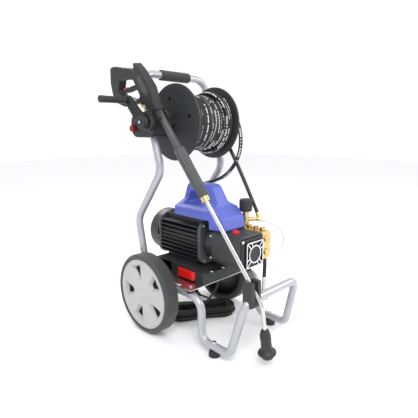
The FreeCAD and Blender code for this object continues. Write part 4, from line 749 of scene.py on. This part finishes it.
def winding():
    """Layers of wraps across the drum, laid one on another."""
    pitch, left, right, step = 2 * HOSE + 0.0001, -0.0945, 0.0915, 0.0450
    inner = DRUM_R + HOSE
    radii = [inner + k * 2 * HOSE * 0.93 for k in range(3)]
    radii.append(WOUND_R - HOSE)
    line = []
    angle = 0.0
    for layer, radius in enumerate(radii):
        wraps = int((right - left - 2 * HOSE) / pitch)
        span = (right - left - 2 * HOSE)
        samples = wraps * WRAP_STEPS
        for i in range(samples + 1):
            t = i / samples
            across = t if layer % 2 == 0 else 1 - t
            x = left + HOSE + across * span
            angle += TAU * wraps / samples
            sag = 0.0006 * noise.noise(Vector((angle * 0.35, layer * 7.0, 0.0)))
            reach = radius + sag
            line.append(REEL + Vector((x, -math.sin(angle) * reach, math.cos(angle) * reach)))
    top = []
    wraps = int((right - step) / pitch)
    samples = wraps * WRAP_STEPS
    for i in range(samples + 1):
        x = right - HOSE - i / samples * (right - step - 2 * HOSE)
        angle += TAU * wraps / samples
        reach = TOP_R - HOSE + 0.0005 * noise.noise(Vector((angle * 0.3, 31.0, 0.0)))
        top.append(REEL + Vector((x, -math.sin(angle) * reach, math.cos(angle) * reach)))
    return line, top


wound, raised = winding()
tube("hose_wraps", wound, HOSE, MAT["hose_rubber"], "reel", (1, 0, 0), 12, replaced=["hose_winding"],
     slot_name="hose_rubber")
tube("hose_wraps_top", raised, HOSE, MAT["hose_rubber"], "reel", (1, 0, 0), 12, slot_name="hose_rubber")

# ---------------------------------------------------------------- free hoses and the mains cord
THIN_HOSE, CLEAR_TUBE, CORD = 0.0070, 0.0025, 0.0045    # radii in metres
TAIL = [(83, 60, 712), (83, 92, 767), (97, 108, 818), (111, 84, 864), (111, 22, 882), (111, -54, 872),
        (111, -122, 834), (111, -166, 774), (111, -181, 700), (111, -161, 632), (111, -108, 574),
        (109, -44, 546), (100, 0, 534), (80, 14, 522), (52, 14, 508)]
tail_line = route_line([at(*p) for p in TAIL], 14)
tail, tail_length = tube("hose_end", tail_line, HOSE, MAT["hose_rubber"], "chassis", (1, 0, 0), 20,
                         replaced=["hose_tail"], slot_name="hose_rubber")

FEED_LOW, FEED_HIGH = at(129, -262, 421), at(129, REEL_Y, REEL_Z)
way = (FEED_HIGH - FEED_LOW).normalized()
feed_start, feed_end = FEED_LOW + way * 0.022, FEED_HIGH - way * 0.036
bow = Vector((0, -0.004, 0.002))
feed_line = route_line([feed_start, feed_start + way * 0.05 + bow * 0.3, (feed_start + feed_end) / 2 + bow,
                        feed_end - way * 0.05 + bow * 0.3, feed_end], 14)
feed, feed_length = tube("feed_line", feed_line, THIN_HOSE, MAT["plain_hose"], "chassis", (1, 0, 0), 20,
                         replaced=["feed_hose"], slot_name="hose_rubber")

INLET = [(103, -308, 284), (103.6, -309, 262), (103, -308.6, 236), (103.5, -308, 212)]
inlet_line = route_line([at(*p) for p in INLET], 12)
tube("inlet_line", inlet_line, THIN_HOSE, MAT["plain_hose"], "chassis", (1, 0, 0), 20,
     replaced=["inlet_hose"], slot_name="hose_rubber")

CHEMICAL = [(112, -268, 420), (113, -292, 419), (140, -306, 409), (184, -310, 386), (220, -311, 346),
            (218, -308, 302), (176, -303, 284), (138, -300, 292), (114, -300, 303)]
clear_line = route_line([at(*p) for p in CHEMICAL], 14)
clear, clear_length = tube("clear_line", clear_line, CLEAR_TUBE, MAT["clear_tube"], "chassis", (0, 0, 1), 14,
                           replaced=["chemical_tube"], slot_name="clear_tube")


# the hank in millimetres: middle, half length, half width, pinch at the waist and turn on the floor
HANK_X, HANK_Y, HANK_A, HANK_B, HANK_WAIST, HANK_TURN = 24, -56, 150, 66, 15, math.radians(-32)
HANK_COLUMNS, HANK_ROWS, HANK_COLUMN_STEP, HANK_ROW_STEP = 4, 4, 9.6, 9.9
HANK_EDGE, HANK_LOWEST, HANK_SLACK = 4.8, 4.6, 3.0
HANK_TURNS, HANK_STEPS = 15.45, 18


def on_hank(along, across, height):
    """Machine millimetres of a place given along and across the hank."""
    return (HANK_X + along * math.cos(HANK_TURN) - across * math.sin(HANK_TURN),
            HANK_Y + along * math.sin(HANK_TURN) + across * math.cos(HANK_TURN), height)


def turn_point(a, b, share):
    """A place on one turn: two straight sides and two round ends, drawn in at the waist."""
    straight, bend = a - b, math.pi * b
    way = share * (4 * straight + 2 * bend)
    if way < straight:
        x, y = -way, -b
    elif way < straight + bend:
        angle = (way - straight) / b
        x, y = -straight - b * math.sin(angle), -b * math.cos(angle)
    elif way < 3 * straight + bend:
        x, y = way - 2 * straight - bend, b
    elif way < 3 * straight + 2 * bend:
        angle = (way - 3 * straight - bend) / b
        x, y = straight + b * math.sin(angle), b * math.cos(angle)
    else:
        x, y = 4 * straight + 2 * bend - way, -b
    waist = max(0.0, 1 - (x / (0.72 * HANK_A)) ** 2) ** 2
    return x, y * (1 - waist * HANK_WAIST / (HANK_B - 4))


def hank_points(turns, per_turn):
    """The mains cord's turns, laid in rows from the top of the hank to the floor."""
    points = []
    columns, rows = HANK_COLUMNS, HANK_ROWS
    random.seed(7)
    drift = [(random.uniform(-1, 1), random.uniform(-1, 1)) for _ in range(int(turns) + 3)]
    for i in range(int(turns * per_turn) + 1):
        progress = i / per_turn
        row = min(int(progress / columns), rows - 1)
        inside = progress - row * columns
        column = inside if row % 2 == 0 else columns - inside
        drop = max(0.0, inside - (columns - 0.6)) / 0.6 if row < rows - 1 else 0.0
        k, blend = int(progress), progress % 1
        wobble = [drift[k][n] * (1 - blend) + drift[k + 1][n] * blend for n in (0, 1)]
        inset = HANK_EDGE + HANK_COLUMN_STEP * min(max(column, 0.0), columns - 0.999)
        a, b = HANK_A - inset - HANK_SLACK - HANK_SLACK * wobble[0], HANK_B - inset
        x, y = turn_point(a, b, progress % 1)
        free = min(1.0, abs(x) / HANK_A)
        height = HANK_LOWEST + HANK_ROW_STEP * (rows - 1 - row - drop) + 2.4 * free * abs(wobble[1])
        points.append(on_hank(x, y + 1.2 * free * wobble[1], height))
    return points


LEAD_IN = [(22, -148, 180), (21, -147, 150), (16, -130, 118), (9, -109, 88), (0, -92, 62), (-10, -83, 46)]
HANK = hank_points(HANK_TURNS, HANK_STEPS)[1:]
LEAD_OUT = [(96, -37, 7), (117, -30, 9), (129, -8, 14), (125, 22, 19.5), (121, 54, 19.5)]


def cord_tie():
    """A strap round the waist of the hank."""
    half, top, thick, wide = HANK_B - HANK_WAIST - 1.0, 41.5, 1.3, 7.0
    outer = rounded([(-half, 0.1), (half, 0.1), (half, top), (-half, top)], [6, 6, 16, 16], 6)
    inner = rounded([(-half + thick, 0.1 + thick), (half - thick, 0.1 + thick), (half - thick, top - thick),
                     (-half + thick, top - thick)], [5, 5, 15, 15], 6)
    vertices, faces, count = [], [], len(outer)
    for loop, x in ((outer, -wide), (outer, wide), (inner, wide), (inner, -wide)):
        vertices += [at(*on_hank(x, across, up)) for across, up in loop]
    for ring in range(4):
        for i in range(count):
            k = (i + 1) % count
            a, b = ring * count, (ring + 1) % 4 * count
            faces.append((a + i, a + k, b + k, b + i))
    return place("cord_tie", mesh_from("cord_tie", vertices, faces, False), MAT["black_rubber"], "chassis",
                 slot_name="black_rubber")


cord_line = route_line([at(*p) for p in LEAD_IN + HANK + LEAD_OUT], 5)
cord, cord_length = tube("mains_cord", cord_line, CORD, MAT["cable_jacket"], "chassis", (1, 0, 0), 10,
                         replaced=["power_cord", "cord_coil"], slot_name="cable_jacket")
cord_tie()


# ---------------------------------------------------------------- stage
BACKDROP, FLOOR_REACH = (1.05, 1.05, 1.05), 9
# lights: name, place from the machine's middle, size and power
LIGHTS = (("key", (-1.6, -2.0, 2.4), 1.6, 60), ("side", (2.2, -1.6, 1.2), 1.4, 22),
          ("back", (0.6, 2.4, 2.0), 1.6, 30))
CAMERA_SPOT, CAMERA_HEADING, CAMERA_RISE = (-1020.8, -1133.6, 749.3), math.radians(-45.21), math.radians(11.5)
CAMERA_LENS, CAMERA_SENSOR = 33.67, 36


def area_light(name, position, target, size, power):
    light = bpy.data.lights.new(name, "AREA")
    light.shape = "DISK"
    light.size = size
    light.energy = power
    obj = bpy.data.objects.new(name, light)
    obj.location = position
    obj.rotation_euler = (Vector(target) - Vector(position)).to_track_quat("-Z", "Y").to_euler()
    SCENE.collection.objects.link(obj)


def studio_walls(tree):
    """White backdrop for the camera; for light and reflections a bright ceiling and dimmer walls."""
    background = tree.nodes["Background"]
    spot = tree.nodes.new("ShaderNodeTexCoord")
    split = tree.nodes.new("ShaderNodeSeparateXYZ")
    height = tree.nodes.new("ShaderNodeMapRange")
    ramp = tree.nodes.new("ShaderNodeValToRGB")
    seen = tree.nodes.new("ShaderNodeLightPath")
    mix = tree.nodes.new("ShaderNodeMix")
    mix.data_type = "RGBA"
    mix.inputs[7].default_value = (*BACKDROP, 1)
    height.inputs["From Min"].default_value = -1.0
    ramp.color_ramp.elements[0].position = 0.35
    ramp.color_ramp.elements[0].color = (0.50, 0.50, 0.51, 1)
    ramp.color_ramp.elements[1].position = 0.95
    ramp.color_ramp.elements[1].color = (1.10, 1.10, 1.10, 1)
    for position, level in ((0.50, 0.62), (0.56, 0.95), (0.72, 0.90)):
        ramp.color_ramp.elements.new(position).color = (level, level, level * 1.01, 1)
    tree.links.new(spot.outputs["Generated"], split.inputs[0])
    tree.links.new(split.outputs["Z"], height.inputs["Value"])
    tree.links.new(height.outputs["Result"], ramp.inputs["Fac"])
    tree.links.new(ramp.outputs["Color"], mix.inputs[6])
    tree.links.new(seen.outputs["Is Camera Ray"], mix.inputs[0])
    tree.links.new(mix.outputs[2], background.inputs["Color"])


def build_stage():
    floor = Nodes("floor_paper", (0.93, 0.94, 0.96), 0.75, 0.0, Specular_IOR_Level=0.15)
    floor.mottle((0.95, 0.955, 0.965), 1.5, 0.4)
    corners = [(FLOOR_REACH * x, FLOOR_REACH * y) for x, y in ((-1, -1), (1, -1), (1, 1), (-1, 1))]
    vertices = [Vector((x, y, -0.0005)) for x, y in corners]
    obj = bpy.data.objects.new("floor", mesh_from("floor", vertices, [(0, 1, 2, 3)], False))
    SCENE.collection.objects.link(obj)
    obj.data.materials.append(floor.material)
    world = bpy.data.worlds.new("studio")
    world.use_nodes = True
    studio_walls(world.node_tree)
    SCENE.world = world
    middle = at(0, -60, 420)
    for name, away, size, power in LIGHTS:
        area_light(name, middle + Vector(away), middle, size, power)


def build_camera():
    heading, rise = CAMERA_HEADING, CAMERA_RISE
    back = Vector((math.sin(heading) * math.cos(rise), -math.cos(heading) * math.cos(rise), math.sin(rise)))
    right = Vector((0, 0, 1)).cross(back).normalized()
    up = back.cross(right)
    camera = bpy.data.cameras.new("camera")
    camera.sensor_width = CAMERA_SENSOR
    camera.lens = CAMERA_LENS
    camera.clip_start, camera.clip_end = 0.05, 60
    obj = bpy.data.objects.new("camera", camera)
    turn = Matrix((right, up, back)).transposed()
    obj.matrix_world = Matrix.Translation(at(*CAMERA_SPOT)) @ turn.to_4x4()
    SCENE.collection.objects.link(obj)
    SCENE.camera = obj


build_stage()
build_camera()
SCENE.view_settings.view_transform = "Standard"
